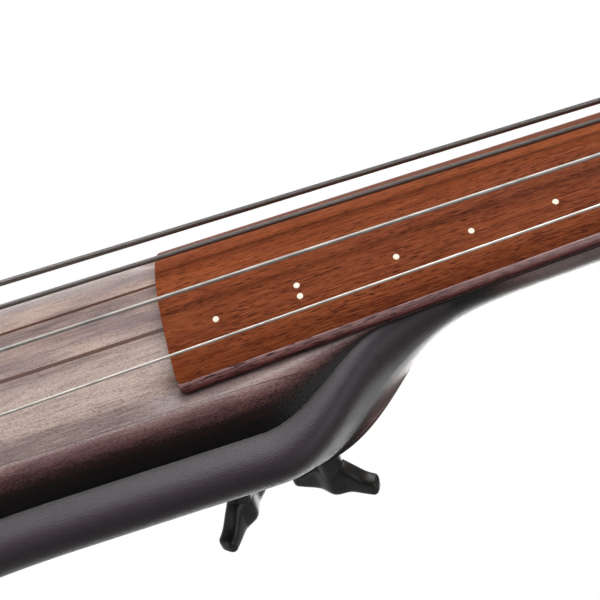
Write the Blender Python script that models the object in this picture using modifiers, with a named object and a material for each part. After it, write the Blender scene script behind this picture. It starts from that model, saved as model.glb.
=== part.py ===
"""Electric upright bass, four strings, neck-through, on a folding tripod stand.

The bass stands upright and faces -Y, its treble side is +X and +Z is up. The
origin is on the floor, in the middle of the space that the object takes up.
Along the instrument a place is given as (u, v, w): u runs from the bridge
towards the nut, v across to the treble side, and w forwards, with w = 0 on
the crown line of the fingerboard.
"""

import math

import bmesh
import bpy
import numpy as np
from mathutils import Matrix, Vector

GAP = 0.0003                   # between pieces that touch
TURN = 2 * math.pi

# Strings and fingerboard
SCALE_LENGTH = 0.8636          # bridge to nut, 34 inches
STRING_NAMES = ("E", "A", "D", "G")
STRING_RADII = (0.00134, 0.00108, 0.00083, 0.00057)
BRIDGE_SPACING = 0.0295
NUT_SPACING = 0.0102
BRIDGE_STRING_HEIGHT = 0.0075  # centre of the string arc over the crown line
NUT_STRING_HEIGHT = 0.0018
BRIDGE_ARC = 0.108
BOARD_END = 0.1604
BOARD_HALF_END = 0.043
BOARD_HALF_NUT = 0.021
BOARD_RADIUS_END = 0.072
BOARD_RADIUS_NUT = 0.060
BOARD_EDGE = 0.006
BOARD_CHAMFER = 0.0012
NUT_LENGTH = 0.005
ROD_RADIUS = 0.0032
ROD_NUT = 0.0042
ROD_DEPTH = 0.0070             # rod's middle under the glue plane
ROD_START = 0.300

# Body and neck
BODY_END = -0.275
BODY_ROUND = 0.085             # length over which the lower end rounds off
BODY_BACK = 0.078              # depth of the flat back behind the crown line
ARCH_RADIUS = 0.100
ARCH_DROP = 0.00785            # body top below the board's crown, at the board
ARCH_FALL = 0.010              # further fall of the top towards the bridge
FALL_START = 0.075
FALL_END = 0.005
RIDGE_HALF = 0.0484
CREASE_HALF = 0.0600
CREASE_DEPTH = 0.0360
CREASE_LIP = 0.002             # fall of the side's upper handle below the crease
SLOPE_RISE = 0.0030            # how far the slope from ridge to crease swells
SIDE_OUT = 0.0358              # how far the side's upper handle stands out
SIDE_IN_LOW = 0.0062           # how far its lower handle lies inside the crease
SIDE_LIFT = 0.0024             # height of its lower handle over the back
BACK_HALF = 0.0518             # half width of the flat back
LOWER_BOUT = 0.014             # how much wider each side is at the lower bout
HEEL_START = 0.1906
HEEL_END = 0.3154
FLARE_START = 0.1856
FLARE_END = 0.2460
NECK_DEPTH_HEEL = 0.026
NECK_DEPTH_NUT = 0.021
STRIPE_INNER = 0.0137
STRIPE_OUTER = 0.0157

# Head
HEAD_TILT = math.radians(10)
HEAD_BLEND = 0.036             # over which the neck turns into the head
HEAD_SWELL = 0.055             # over which the head reaches its width
HEAD_LENGTH = 0.196
HEAD_HALF = 0.041
HEAD_THICK = 0.016
HEAD_TIP = 0.088               # length over which the tip narrows

# Tuners
POST_NEAR = 0.054              # along the head from the nut
POST_STEP = 0.062
POST_OFFSET = 0.024
POST_RADIUS = 0.0050
POST_WAIST = 0.0038
POST_TOP = 0.0205
POST_FOOT = 0.0035
GEAR_TEETH = 16
GEAR_RADIUS = 0.0090
TOOTH_HEIGHT = 0.0009
TOOTH_ROOT = 0.0012
GEAR_THICK = 0.0045
WORM_RADIUS = 0.0042
WORM_LENGTH = 0.0115
WORM_SHAFT = 0.0024
PLATE_THICK = 0.0016
KEY_REACH = 0.021              # key's middle beyond the edge of its plate
KEY_SIZE = 0.0125
KEY_THICK = 0.0042
WINDING_TURNS = 2.0
WINDING_CLEAR = 0.0010         # between neighbouring turns

# Bridge, pickup and tail
BRIDGE_THICK = 0.009
SADDLE_THICK = 0.0062
BRIDGE_HALF = 0.051
BRIDGE_BASE = 0.0050
PICKUP_THICK = 0.0016
WHEEL_OFFSET = 0.030
WHEEL_RADIUS = 0.0080
WHEEL_THICK = 0.0035
STUD_RADIUS = 0.0025
STUD_DEPTH = 0.020
TAIL_FRONT = -0.142
TAIL_LENGTH = 0.026
TAIL_HEIGHT = 0.013
TAIL_HALF = 0.054

# Controls on the treble side
KNOB_NAMES = ("volume", "tone")
KNOB_FIRST = -0.074
KNOB_STEP = 0.036
KNOB_OFFSET = 0.030
KNOB_RADIUS = 0.0085
KNOB_HEIGHT = 0.013
SHAFT_RADIUS = 0.003
POT_RADIUS = 0.0078
POT_HEIGHT = 0.008
TOP_WALL = 0.0055              # wood left over a potentiometer
POCKET_HALF = 0.0125
POCKET_MIDDLE = 0.0305
POCKET_DEPTH = 0.036
COVER_THICK = 0.002
JACK_RADIUS = 0.0060
JACK_FLANGE = 0.0078
JACK_BORE = 0.0034
JACK_LENGTH = 0.026
JACK_U = -0.205

# Battery on the bass side
BATTERY_SIZE = (0.0175, 0.0485, 0.0265)
BATTERY_U = -0.130
TRAY_WALL = 0.0012
DOOR_THICK = 0.002
HINGE_RADIUS = 0.0022
HINGE_PIN = 0.0010

# Stand
BRIDGE_Z = 0.800               # height of the bridge line over the floor
TUBE_RADIUS = 0.0125
TUBE_WALL = 0.0020
TUBE_BACK = 0.103              # tube's middle behind the crown line
OUTER_RADIUS = 0.0160
OUTER_TOP = 0.490
OUTER_FOOT = 0.120
TUBE_OVERLAP = 0.340           # inner tube inside the outer one at rest
SOCKET_WALL = 0.0042
SOCKET_FOOT = 0.122
SOCKET_TOP = 0.216
SOCKET_PLATE = 0.005
SOCKET_HALF = 0.027
BOLT_PLACES = (0.1525, 0.2035)
BOLT_TURNS = (math.radians(35), math.radians(118))
BOLT_RADIUS = 0.003
BOSS_LENGTH = 0.008
BOSS_RADIUS = 0.0088
WING_HUB_RADIUS = 0.0072
WING_HUB = 0.031               # height of the round hub
WING_NECK = 0.017              # of the hub below its wings
WING_HALF = 0.0245
WING_TIP = 0.0125
WING_THICK = 0.0095
COLLAR_RADIUS = 0.023
COLLAR_HEIGHT = 0.036
HUB_RADIUS = 0.022
HUB_HEIGHT = 0.075
HUB_FOOT = 0.112
PIN_REACH = 0.041
PIN_Z = 0.158
PIN_RADIUS = 0.003
PIN_HEAD = 0.0055
TONGUE_HALF = 0.0045
TONGUE_REACH = 0.0115
CHEEK_THICK = 0.005
LEG_REACH = 0.330              # foot's middle from the tube's middle
LEG_RADIUS = 0.010
LEG_START = 0.017
FOOT_RADIUS = 0.016
FOOT_HEIGHT = 0.026
LEG_ANGLES = (90, 210, 330)

STAND_Y = -LEG_REACH / 4       # three feet centred on the origin
BOARD_Y = STAND_Y - TUBE_BACK
NUT_END = SCALE_LENGTH + NUT_LENGTH
ROD_END = NUT_END + 0.012
NUT_BASE = (math.sqrt(BOARD_RADIUS_NUT ** 2 - BOARD_HALF_NUT ** 2)
            - BOARD_RADIUS_NUT - BOARD_EDGE)
GEAR_PITCH = TURN * GEAR_RADIUS / GEAR_TEETH


def place(u, v, w):
    """World place of a point given along, across and in front of the board."""
    return Vector((v, BOARD_Y - w, BRIDGE_Z + u))


def frame_at(u, v, w, forward=0.0, tilt=0.0):
    """Matrix whose Z axis looks out of the front, turned about the length."""
    axes = Matrix(((1, 0, 0), (0, 0, -1), (0, 1, 0))).to_4x4()
    lean = Matrix.Rotation(tilt, 4, "Z") @ Matrix.Rotation(-forward, 4, "X")
    return Matrix.Translation(place(u, v, w)) @ lean @ axes


def head_frame(along, across, out=0.0):
    """Matrix on the head: X across, Y along it, Z out of its front."""
    start = frame_at(NUT_END, 0, NUT_BASE, forward=HEAD_TILT)
    return start @ Matrix.Translation((across, along, out))


def smooth(x):
    x = np.clip(x, 0, 1)
    return x * x * (3 - 2 * x)


def smoother(x):
    x = np.clip(x, 0, 1)
    return x ** 3 * (x * (6 * x - 15) + 10)


def mix(a, b, share):
    return a + (b - a) * share


def arc(radius, v):
    """Fall of a circle of this radius at v from its highest point."""
    return np.sqrt(radius ** 2 - np.minimum(np.abs(v), 0.98 * radius) ** 2) - radius


def along_board(u):
    return (u - BOARD_END) / (SCALE_LENGTH - BOARD_END)


def board_half(u):
    return mix(BOARD_HALF_END, BOARD_HALF_NUT, along_board(u))


def board_radius(u):
    return mix(BOARD_RADIUS_END, BOARD_RADIUS_NUT, along_board(u))


def board_base(u):
    """Glue plane of the fingerboard, at or under its edges."""
    return arc(board_radius(u), board_half(u)) - BOARD_EDGE


def body_top(u):
    """Middle of the arched top."""
    return -ARCH_DROP - ARCH_FALL * smooth((FALL_START - u) / (FALL_START - FALL_END))


def string_at_bridge(i):
    v = (i - 1.5) * BRIDGE_SPACING
    return v, BRIDGE_STRING_HEIGHT + arc(BRIDGE_ARC, v)


def string_at_nut(i):
    v = (i - 1.5) * NUT_SPACING
    return v, NUT_STRING_HEIGHT + arc(BOARD_RADIUS_NUT, v)


# Materials and collections

def material(name, colour, roughness, metallic=0.0):
    made = bpy.data.materials.new(name)
    made.use_nodes = True
    shader = made.node_tree.nodes["Principled BSDF"]
    shader.inputs["Base Color"].default_value = (*colour, 1)
    shader.inputs["Roughness"].default_value = roughness
    shader.inputs["Metallic"].default_value = metallic
    made.diffuse_color = (*colour, 1)
    return made


for old in list(bpy.data.objects):
    bpy.data.objects.remove(old)
PARTS = bpy.data.collections.new("electric_upright_bass")
CUTTERS = bpy.data.collections.new("cutters")
CUTTERS.hide_render = True
bpy.context.scene.collection.children.link(PARTS)
bpy.context.scene.collection.children.link(CUTTERS)

MAPLE = material("maple", (0.36, 0.28, 0.25), 0.45)
WALNUT = material("walnut", (0.13, 0.06, 0.045), 0.45)
STAINED = material("stained_wood", (0.05, 0.035, 0.045), 0.35)
ROSEWOOD = material("rosewood", (0.20, 0.055, 0.022), 0.5)
EBONY = material("ebony", (0.02, 0.016, 0.014), 0.4)
BONE = material("bone", (0.8, 0.74, 0.6), 0.4)
STEEL = material("steel", (0.62, 0.6, 0.58), 0.25, 1.0)
WOUND = material("wound_steel", (0.42, 0.38, 0.35), 0.35, 1.0)
BLACK_METAL = material("black_metal", (0.02, 0.02, 0.022), 0.35, 1.0)
CHROME = material("chrome", (0.75, 0.75, 0.76), 0.15, 1.0)
BRASS = material("brass", (0.7, 0.5, 0.22), 0.25, 1.0)
BLACK_PLASTIC = material("black_plastic", (0.012, 0.012, 0.013), 0.4)
RUBBER = material("rubber", (0.015, 0.015, 0.015), 0.8)
BOARD_GREEN = material("circuit_green", (0.02, 0.12, 0.05), 0.5)
CELL = material("battery_case", (0.05, 0.05, 0.055), 0.4)


# Shapes

def add_object(name, mesh, look=None, where=None, cutter=False):
    made = bpy.data.objects.new(name, mesh)
    (CUTTERS if cutter else PARTS).objects.link(made)
    if where is not None:
        made.matrix_world = where
    if look is not None:
        mesh.materials.append(look)
    if cutter:
        made.hide_render = True
        made.display_type = "WIRE"
    return made


def from_bmesh(name, bm, look=None, where=None, cutter=False, round_piece=False):
    mesh = bpy.data.meshes.new(name)
    bmesh.ops.recalc_face_normals(bm, faces=bm.faces)
    bm.to_mesh(mesh)
    bm.free()
    if round_piece:
        mesh.shade_smooth()
        mesh.set_sharp_from_angle(angle=math.radians(35))
    return add_object(name, mesh, look, where, cutter)


def block(name, low, high, look=None, where=None, cutter=False, edge=0.0):
    """A box between two corners, with its edges rounded by edge."""
    low, high = Vector(low), Vector(high)
    bm = bmesh.new()
    size = Matrix.Diagonal((*(high - low), 1))
    bmesh.ops.create_cube(bm, size=1, matrix=Matrix.Translation((low + high) / 2) @ size)
    made = from_bmesh(name, bm, look, where, cutter)
    if edge:
        bevel(made, edge)
    return made


def rod(name, radius, low, high, look=None, where=None, cutter=False, sides=12):
    """A cylinder on the Z axis from low to high."""
    bm = bmesh.new()
    bmesh.ops.create_cone(
        bm, cap_ends=True, segments=sides, radius1=radius, radius2=radius,
        depth=high - low, matrix=Matrix.Translation((0, 0, (low + high) / 2)))
    return from_bmesh(name, bm, look, where, cutter, round_piece=True)


def turned(name, profile, look=None, where=None, cutter=False, sides=20):
    """A profile of (radius, height), from top to bottom, turned about Z."""
    mesh = bpy.data.meshes.new(name)
    points = [(radius, 0, height) for radius, height in profile]
    mesh.from_pydata(points, [(i, i + 1) for i in range(len(points) - 1)], [])
    made = add_object(name, mesh, look, where, cutter)
    screw = made.modifiers.new("turn", "SCREW")
    screw.axis = "Z"
    screw.steps = screw.render_steps = sides
    screw.use_merge_vertices = True
    screw.merge_threshold = 0.00001
    screw.use_smooth_shade = True
    if profile[0] == profile[-1]:
        weld = made.modifiers.new("close", "WELD")
        weld.merge_threshold = 0.00001
    return made


def outline_mesh(name, outline, thickness):
    """A closed flat outline in X and Y, given a thickness along Z, as a mesh."""
    curve = bpy.data.curves.new(name, "CURVE")
    curve.dimensions = "2D"
    curve.fill_mode = "BOTH"
    curve.extrude = thickness / 2
    spline = curve.splines.new("POLY")
    spline.points.add(len(outline) - 1)
    for point, (x, y) in zip(spline.points, outline):
        point.co = (x, y, 0, 1)
    spline.use_cyclic_u = True
    return curve_mesh(name, curve)


def curve_mesh(name, curve):
    """The curve's surface as a mesh with its caps welded on."""
    guide = bpy.data.objects.new(name + "_guide", curve)
    CUTTERS.objects.link(guide)
    graph = bpy.context.evaluated_depsgraph_get()
    graph.update()
    mesh = bpy.data.meshes.new_from_object(guide.evaluated_get(graph))
    bpy.data.objects.remove(guide)
    bm = bmesh.new()
    bm.from_mesh(mesh)
    bmesh.ops.remove_doubles(bm, verts=bm.verts, dist=0.000005)
    bmesh.ops.recalc_face_normals(bm, faces=bm.faces)
    bm.to_mesh(mesh)
    bm.free()
    mesh.name = name
    return mesh


def plate(name, outline, thickness, look=None, where=None, cutter=False, edge=0.0):
    """A flat outline in X and Y with its middle plane at Z = 0."""
    made = add_object(name, outline_mesh(name, outline, thickness), look, where, cutter)
    if edge:
        bevel(made, edge)
    return made


def tube(name, points, radii, look=None, resolution=1):
    """A round tube of these radii through world points, with closed ends."""
    curve = bpy.data.curves.new(name, "CURVE")
    curve.dimensions = "3D"
    curve.bevel_depth = 1.0
    curve.bevel_resolution = resolution
    curve.use_fill_caps = True
    spline = curve.splines.new("POLY")
    spline.points.add(len(points) - 1)
    for knot, point, radius in zip(spline.points, points, radii):
        knot.co = (*point, 1)
        knot.radius = radius
    mesh = curve_mesh(name, curve)
    mesh.shade_smooth()
    return add_object(name, mesh, look)


def loft_mesh(name, rings):
    """Rings with as many points each, joined in turn and closed at both ends."""
    bm = bmesh.new()
    rows = [[bm.verts.new(point) for point in ring] for ring in rings]
    count = len(rows[0])
    for near, far in zip(rows, rows[1:]):
        for k in range(count):
            after = (k + 1) % count
            bm.faces.new((near[k], near[after], far[after], far[k]))
    bm.faces.new(rows[0][::-1])
    bm.faces.new(rows[-1])
    bmesh.ops.recalc_face_normals(bm, faces=bm.faces)
    mesh = bpy.data.meshes.new(name)
    bm.to_mesh(mesh)
    bm.free()
    mesh.shade_smooth()
    mesh.set_sharp_from_angle(angle=math.radians(35))
    return mesh


def bevel(made, width, segments=1):
    rounded = made.modifiers.new("round", "BEVEL")
    rounded.width = width
    rounded.segments = segments
    rounded.limit_method = "ANGLE"
    rounded.angle_limit = math.radians(40)


def boolean(target, other, operation):
    change = target.modifiers.new(operation.lower(), "BOOLEAN")
    change.operation = operation
    change.object = other
    change.solver = "EXACT"


def cut(target, *cutters):
    for cutter in cutters:
        boolean(target, cutter, "DIFFERENCE")


def join(target, *others):
    for other in others:
        boolean(target, other, "UNION")


def rounded_box_outline(half_x, half_y, corner, steps=3):
    """A rectangle about the origin with its corners rounded."""
    points = []
    for k, (sx, sy) in enumerate(((1, 1), (-1, 1), (-1, -1), (1, -1))):
        for step in range(steps + 1):
            angle = math.radians(90) * (k + step / steps)
            points.append((sx * (half_x - corner) + corner * math.cos(angle),
                           sy * (half_y - corner) + corner * math.sin(angle)))
    return points


# Body, neck and head in one blank, cut into its glued lengths

def belly(u):
    """Share of the full body that the side and back have reached at u."""
    return smoother((HEEL_END - u) / (HEEL_END - HEEL_START))


def half_section(u):
    """Treble half of the wood's outline at u, from front to back."""
    body = belly(u)
    head = smooth((u - SCALE_LENGTH) / HEAD_BLEND)
    on_neck = smooth((u - BOARD_END) / (FLARE_END - BOARD_END))
    flare = smooth((u - FLARE_START) / (FLARE_END - FLARE_START))
    bout = LOWER_BOUT * smooth((0.10 - u) / 0.20)
    past_nut = max(u - NUT_END, 0)
    half = board_half(min(u, SCALE_LENGTH))
    swell = smooth(past_nut / HEAD_SWELL)
    tip = np.clip((past_nut - (HEAD_LENGTH - HEAD_TIP)) / (HEAD_TIP * 1.03), 0, 1)
    half = mix(half, HEAD_HALF, swell) * (1 - tip ** 2.6) ** (1 / 2.6)
    front = board_base(min(u, SCALE_LENGTH)) - past_nut * math.tan(HEAD_TILT) - GAP
    nick = 0.0006

    ridge_v = mix(RIDGE_HALF, half - nick, on_neck)
    ridge_w = mix(body_top(BOARD_END) + arc(ARCH_RADIUS, RIDGE_HALF), front, on_neck)
    crease_v = mix(CREASE_HALF, half, flare)
    crease_w = mix(-CREASE_DEPTH, front - nick, flare)
    top_v = np.linspace(0, 1, 6) * ridge_v
    if u < BOARD_END:
        top_w = body_top(u) + arc(ARCH_RADIUS, top_v)
        crease_w += (body_top(u) - body_top(BOARD_END)) * 0.5
        crease_v += bout
    else:
        top_w = np.full(6, front)
        top_w[-1] = ridge_w
    depth = mix(NECK_DEPTH_HEEL, NECK_DEPTH_NUT, np.clip(along_board(u), 0, 1))
    head_back = front - HEAD_THICK / math.cos(HEAD_TILT)
    back = mix(mix(front - depth, head_back, head), -BODY_BACK, body)
    full = crease_v + SIDE_OUT * body
    handles = np.array((
        (crease_v, crease_w),
        (mix(half, full, body),
         mix(front - mix(0.6 * depth, HEAD_THICK * 0.9, head), crease_w - CREASE_LIP, body)),
        (mix(mix(0.62, 1.0, head) * half, crease_v - SIDE_IN_LOW, body), back + SIDE_LIFT * body),
        (mix(mix(0.12, 0.86, head) * half, BACK_HALF + bout, body), back)))
    t = np.linspace(0, 1, 8)[:, None]
    side = ((1 - t) ** 3 * handles[0] + 3 * t * (1 - t) ** 2 * handles[1]
            + 3 * t ** 2 * (1 - t) * handles[2] + t ** 3 * handles[3])
    slope = np.linspace((top_v[-1], top_w[-1]), (crease_v, crease_w), 3)[1:-1]
    slope[:, 1] += SLOPE_RISE * (1 - flare)
    last = np.array(((side[-1, 0] / 2, back), (0, back)))
    half_outline = np.vstack((np.column_stack((top_v, top_w)), slope, side, last))

    close = np.clip((BODY_END + BODY_ROUND - u) / (BODY_ROUND * 1.012), 0, 1)
    middle = (body_top(u) - BODY_BACK) / 2
    half_outline[:, 0] *= (1 - close ** 2.5) ** (1 / 2.5)
    lift = (1 - close ** 4) ** (1 / 4)
    half_outline[:, 1] = middle + (half_outline[:, 1] - middle) * mix(0.25, 1, lift)
    return half_outline


def full_section(u):
    half = half_section(u)
    mirrored = half[-2:0:-1] * (-1, 1)
    return [place(u, v, w) for v, w in np.vstack((half, mirrored))]


def stations():
    """Where the wood's outline is drawn, closer together where it changes."""
    ends = BODY_END + BODY_ROUND * (1 - np.cos(np.linspace(0, math.pi / 2, 8)))
    bout = np.linspace(BODY_END + BODY_ROUND, FALL_END - 0.015, 5)[1:]
    fall = np.linspace(FALL_END, FALL_START, 5)
    body = np.concatenate((bout, fall, (BOARD_END - GAP,)))
    heel = np.linspace(BOARD_END - GAP + 0.00001, HEEL_END, 13)
    neck = np.linspace(HEEL_END, SCALE_LENGTH, 4)[1:]
    head = NUT_END + np.concatenate((np.linspace(0, HEAD_BLEND, 4), (HEAD_SWELL, HEAD_LENGTH - HEAD_TIP)))
    tip_shape = np.sin(np.linspace(0, math.pi / 2, 7))[1:]
    tip = NUT_END + HEAD_LENGTH - HEAD_TIP * (1 - tip_shape)
    heel[0] = BOARD_END
    return np.concatenate((ends, body, heel, neck, head, tip))


BLANK = loft_mesh("wood_blank", [full_section(u) for u in stations()])
LENGTHS = {
    "neck_core": (-STRIPE_INNER + GAP / 2, STRIPE_INNER - GAP / 2, MAPLE),
    "neck_stripe_treble": (STRIPE_INNER + GAP / 2, STRIPE_OUTER - GAP / 2, WALNUT),
    "neck_stripe_bass": (-STRIPE_OUTER + GAP / 2, -STRIPE_INNER - GAP / 2, WALNUT),
    "neck_side_treble": (STRIPE_OUTER + GAP / 2, RIDGE_HALF - GAP / 2, MAPLE),
    "neck_side_bass": (-RIDGE_HALF + GAP / 2, -STRIPE_OUTER - GAP / 2, MAPLE),
    "body_wing_treble": (RIDGE_HALF + GAP / 2, 0.2, STAINED),
    "body_wing_bass": (-0.2, -RIDGE_HALF - GAP / 2, STAINED),
}
WOOD = {}
for wood_name, (left, right, wood_look) in LENGTHS.items():
    WOOD[wood_name] = add_object(wood_name, BLANK.copy(), wood_look)
    slab = block(wood_name + "_slab", (left, -1, -0.5), (right, 1, 2.5), cutter=True)
    boolean(WOOD[wood_name], slab, "INTERSECT")


# Fingerboard, nut and truss rod

def board_section(u):
    half, radius, base = board_half(u), board_radius(u), board_base(u)
    v = np.linspace(-half, half, 15)
    top = [(x, arc(radius, x)) for x in v]
    chamfer = BOARD_CHAMFER
    bottom = [(half, base + chamfer), (half - chamfer, base),
              (chamfer - half, base), (-half, base + chamfer)]
    return [place(u, x, w) for x, w in top + bottom]


def make_fingerboard():
    places = np.linspace(BOARD_END, SCALE_LENGTH - GAP, 4)
    add_object("fingerboard", loft_mesh("fingerboard", [board_section(u) for u in places]),
               ROSEWOOD)


def string_groove(name, i, where, length):
    """A round groove for string i along the instrument."""
    return rod(f"{name}_{STRING_NAMES[i]}", STRING_RADII[i] + GAP, -length, length,
               where=where, cutter=True, sides=12)


def make_nut():
    half = BOARD_HALF_NUT
    v = np.linspace(-half, half, 9)
    rings = []
    for u in (SCALE_LENGTH, NUT_END - GAP):
        top = [(x, NUT_STRING_HEIGHT + arc(BOARD_RADIUS_NUT, x)) for x in v]
        rings.append([place(u, x, w) for x, w in top + [(half, NUT_BASE), (-half, NUT_BASE)]])
    nut = add_object("nut", loft_mesh("nut", rings), BONE)
    for i in range(4):
        v_nut, w_nut = string_at_nut(i)
        where = Matrix.Translation(place(SCALE_LENGTH, v_nut, w_nut))
        cut(nut, string_groove("nut_groove", i, where, 2 * NUT_LENGTH))


def make_truss_rod():
    """A steel rod in a channel under the board, its nut in a pocket in the head."""
    low_w = board_base(ROD_START) - ROD_DEPTH
    high_w = board_base(SCALE_LENGTH) - ROD_DEPTH
    lean = math.atan2(high_w - low_w, SCALE_LENGTH - ROD_START)
    where = Matrix.Translation(place(ROD_START, 0, low_w)) @ Matrix.Rotation(lean, 4, "X")
    length = ROD_END - ROD_START
    channel = block("rod_channel", (-ROD_RADIUS - GAP, -0.02, -0.002),
                    (ROD_RADIUS + GAP, ROD_RADIUS + GAP, length), where=where, cutter=True)
    pocket = block("rod_pocket", (-ROD_NUT - 0.0015, -0.02, length - 0.008),
                   (ROD_NUT + 0.0015, ROD_NUT + GAP, length + 0.012), where=where,
                   cutter=True)
    cut(WOOD["neck_core"], channel, pocket)
    profile = [(0, length), (ROD_NUT, length), (ROD_NUT, length - 0.007),
               (ROD_RADIUS, length - 0.0071), (ROD_RADIUS, 0), (0, 0)]
    turned("truss_rod", profile, STEEL, where, sides=12)


def make_rod_cover():
    outline = [(0.011, 0.0035), (0.012, 0.012), (0.0085, 0.026), (0.004, 0.036),
               (0, 0.038), (-0.004, 0.036), (-0.0085, 0.026), (-0.012, 0.012),
               (-0.011, 0.0035)]
    plate("truss_rod_cover", outline, COVER_THICK, BLACK_PLASTIC,
          head_frame(0, 0, COVER_THICK / 2), edge=0.0005)


# Tuners: worm and wheel, with the post in front

def tuner_places():
    """For each string: post along the head, across it, and the side it is on."""
    return {0: (POST_NEAR, -POST_OFFSET, -1), 1: (POST_NEAR + POST_STEP, -POST_OFFSET, -1),
            2: (POST_NEAR + POST_STEP, POST_OFFSET, 1), 3: (POST_NEAR, POST_OFFSET, 1)}


def gear_outline():
    """Straight-sided teeth round the wheel, one of them pointing along +Y."""
    outer, root = GEAR_RADIUS + TOOTH_HEIGHT, GEAR_RADIUS - TOOTH_ROOT
    step = TURN / GEAR_TEETH
    points = []
    for tooth in range(GEAR_TEETH):
        middle = math.pi / 2 + tooth * step
        for share, radius in ((-0.30, root), (-0.11, outer), (0.11, outer), (0.30, root)):
            angle = middle + share * step
            points.append((radius * math.cos(angle), radius * math.sin(angle)))
    return points


def worm_mesh(name):
    """Radius follows a helical wave: a valley faces the wheel at mid length."""
    turns, rows = 9, 19
    along = np.linspace(-WORM_LENGTH / 2, WORM_LENGTH / 2, rows)
    rings = []
    for x in along:
        ring = []
        for k in range(turns):
            angle = TURN * k / turns
            wave = math.cos(TURN * x / GEAR_PITCH - angle + math.pi)
            height = np.clip(-1.7 * wave, -1, 0.75) / 0.75
            radius = WORM_RADIUS + TOOTH_HEIGHT * height
            if height < 0:
                radius = WORM_RADIUS + TOOTH_ROOT * height * 0.75
            ring.append(Vector((x, radius * math.cos(angle), radius * math.sin(angle))))
        rings.append(ring)
    return loft_mesh(name, rings)


WORM_OFFSET = GEAR_RADIUS + WORM_RADIUS + 0.0001
GEAR_TOP = -HEAD_THICK - 2 * GAP - PLATE_THICK
WORM_HEIGHT = GEAR_TOP - WORM_RADIUS - TOOTH_HEIGHT
PLATE_EDGE = HEAD_HALF - 0.0005
LUG_THICK = 0.0022


def make_tuner(i):
    along, across, side = tuner_places()[i]
    letter = STRING_NAMES[i]
    hole = rod(f"post_hole_{letter}", POST_RADIUS + GAP, GEAR_TOP - 0.002, 0.01,
               where=head_frame(along, across), cutter=True, sides=20)
    cut(WOOD["neck_side_treble" if side > 0 else "neck_side_bass"], hole)

    profile = [(0, POST_TOP), (POST_WAIST + 0.0010, POST_TOP),
               (POST_WAIST + 0.0014, POST_TOP - 0.0015), (POST_WAIST, POST_TOP - 0.0035),
               (POST_WAIST, POST_FOOT), (POST_RADIUS, POST_FOOT - 0.0015),
               (POST_RADIUS, WORM_HEIGHT), (0, WORM_HEIGHT)]
    post = turned(f"string_post_{letter}", profile, CHROME, head_frame(along, across), sides=10)
    wheel_at = head_frame(along, across, WORM_HEIGHT)
    wheel = plate(f"gear_{letter}", gear_outline(), GEAR_THICK, BRASS, wheel_at, cutter=True)
    screw = rod(f"gear_screw_{letter}", 0.0035, -GEAR_THICK / 2 - 0.0016, 0,
                where=wheel_at, cutter=True, sides=12)
    join(post, wheel, screw)

    reach = PLATE_EDGE - POST_OFFSET
    outline = rounded_box_outline((reach + 0.0125) / 2, 0.0185, 0.004, steps=2)
    shift = (reach - 0.0125) / 2 * side
    outline = [(x + shift, y + 0.004) for x, y in outline]
    plate_at = head_frame(along, across, -HEAD_THICK - GAP - PLATE_THICK / 2)
    base = plate(f"tuner_plate_{letter}", outline, PLATE_THICK, CHROME, plate_at)
    cut(base, rod(f"plate_hole_{letter}", POST_RADIUS + GAP, -0.01, 0.01,
                  where=plate_at, cutter=True, sides=16))
    lug_low = WORM_HEIGHT - (-HEAD_THICK - GAP - PLATE_THICK / 2) - 0.0046
    for end in (-1, 1):
        x0 = end * (WORM_LENGTH / 2 + GAP)
        x1 = end * (WORM_LENGTH / 2 + GAP + LUG_THICK)
        lug = block(f"lug_{letter}_{end}",
                    (min(x0, x1), WORM_OFFSET - 0.0042, lug_low),
                    (max(x0, x1), WORM_OFFSET + 0.0042, 0), where=plate_at, cutter=True)
        join(base, lug)
    bore = rod(f"lug_bore_{letter}", WORM_SHAFT + GAP, -0.012, 0.012, cutter=True, sides=12,
               where=head_frame(along + WORM_OFFSET, across, WORM_HEIGHT)
               @ Matrix.Rotation(math.pi / 2, 4, "Y"))
    cut(base, bore)

    key_at = head_frame(along + WORM_OFFSET, across, WORM_HEIGHT)
    key = add_object(f"tuning_key_{letter}", worm_mesh(f"tuning_key_{letter}"), CHROME, key_at)
    across_turn = key_at @ Matrix.Rotation(math.pi / 2, 4, "Y")
    key_middle = side * (reach + KEY_REACH)
    low, high = sorted((-side * (WORM_LENGTH / 2 + LUG_THICK + 0.0012), key_middle))
    shaft = rod(f"worm_shaft_{letter}", WORM_SHAFT, low, high, where=across_turn,
                cutter=True, sides=12)
    stem_ends = sorted((side * (WORM_LENGTH / 2 + LUG_THICK + 2 * GAP), key_middle))
    stem = rod(f"key_stem_{letter}", WORM_SHAFT + 0.0008, *stem_ends, where=across_turn,
               cutter=True, sides=12)
    leaf = [(KEY_SIZE * (1 + 0.12 * math.cos(3 * a)) * math.cos(a),
             0.86 * KEY_SIZE * (1 + 0.12 * math.cos(3 * a)) * math.sin(a))
            for a in np.linspace(0, TURN, 15, endpoint=False)]
    leaf_at = key_at @ Matrix.Translation((key_middle, 0, 0))
    if side < 0:
        leaf_at = leaf_at @ Matrix.Rotation(math.pi, 4, "Z")
    grip = plate(f"key_leaf_{letter}", leaf, KEY_THICK, where=leaf_at, cutter=True, edge=0.001)
    join(key, shaft, stem, grip)


# Strings

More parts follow.
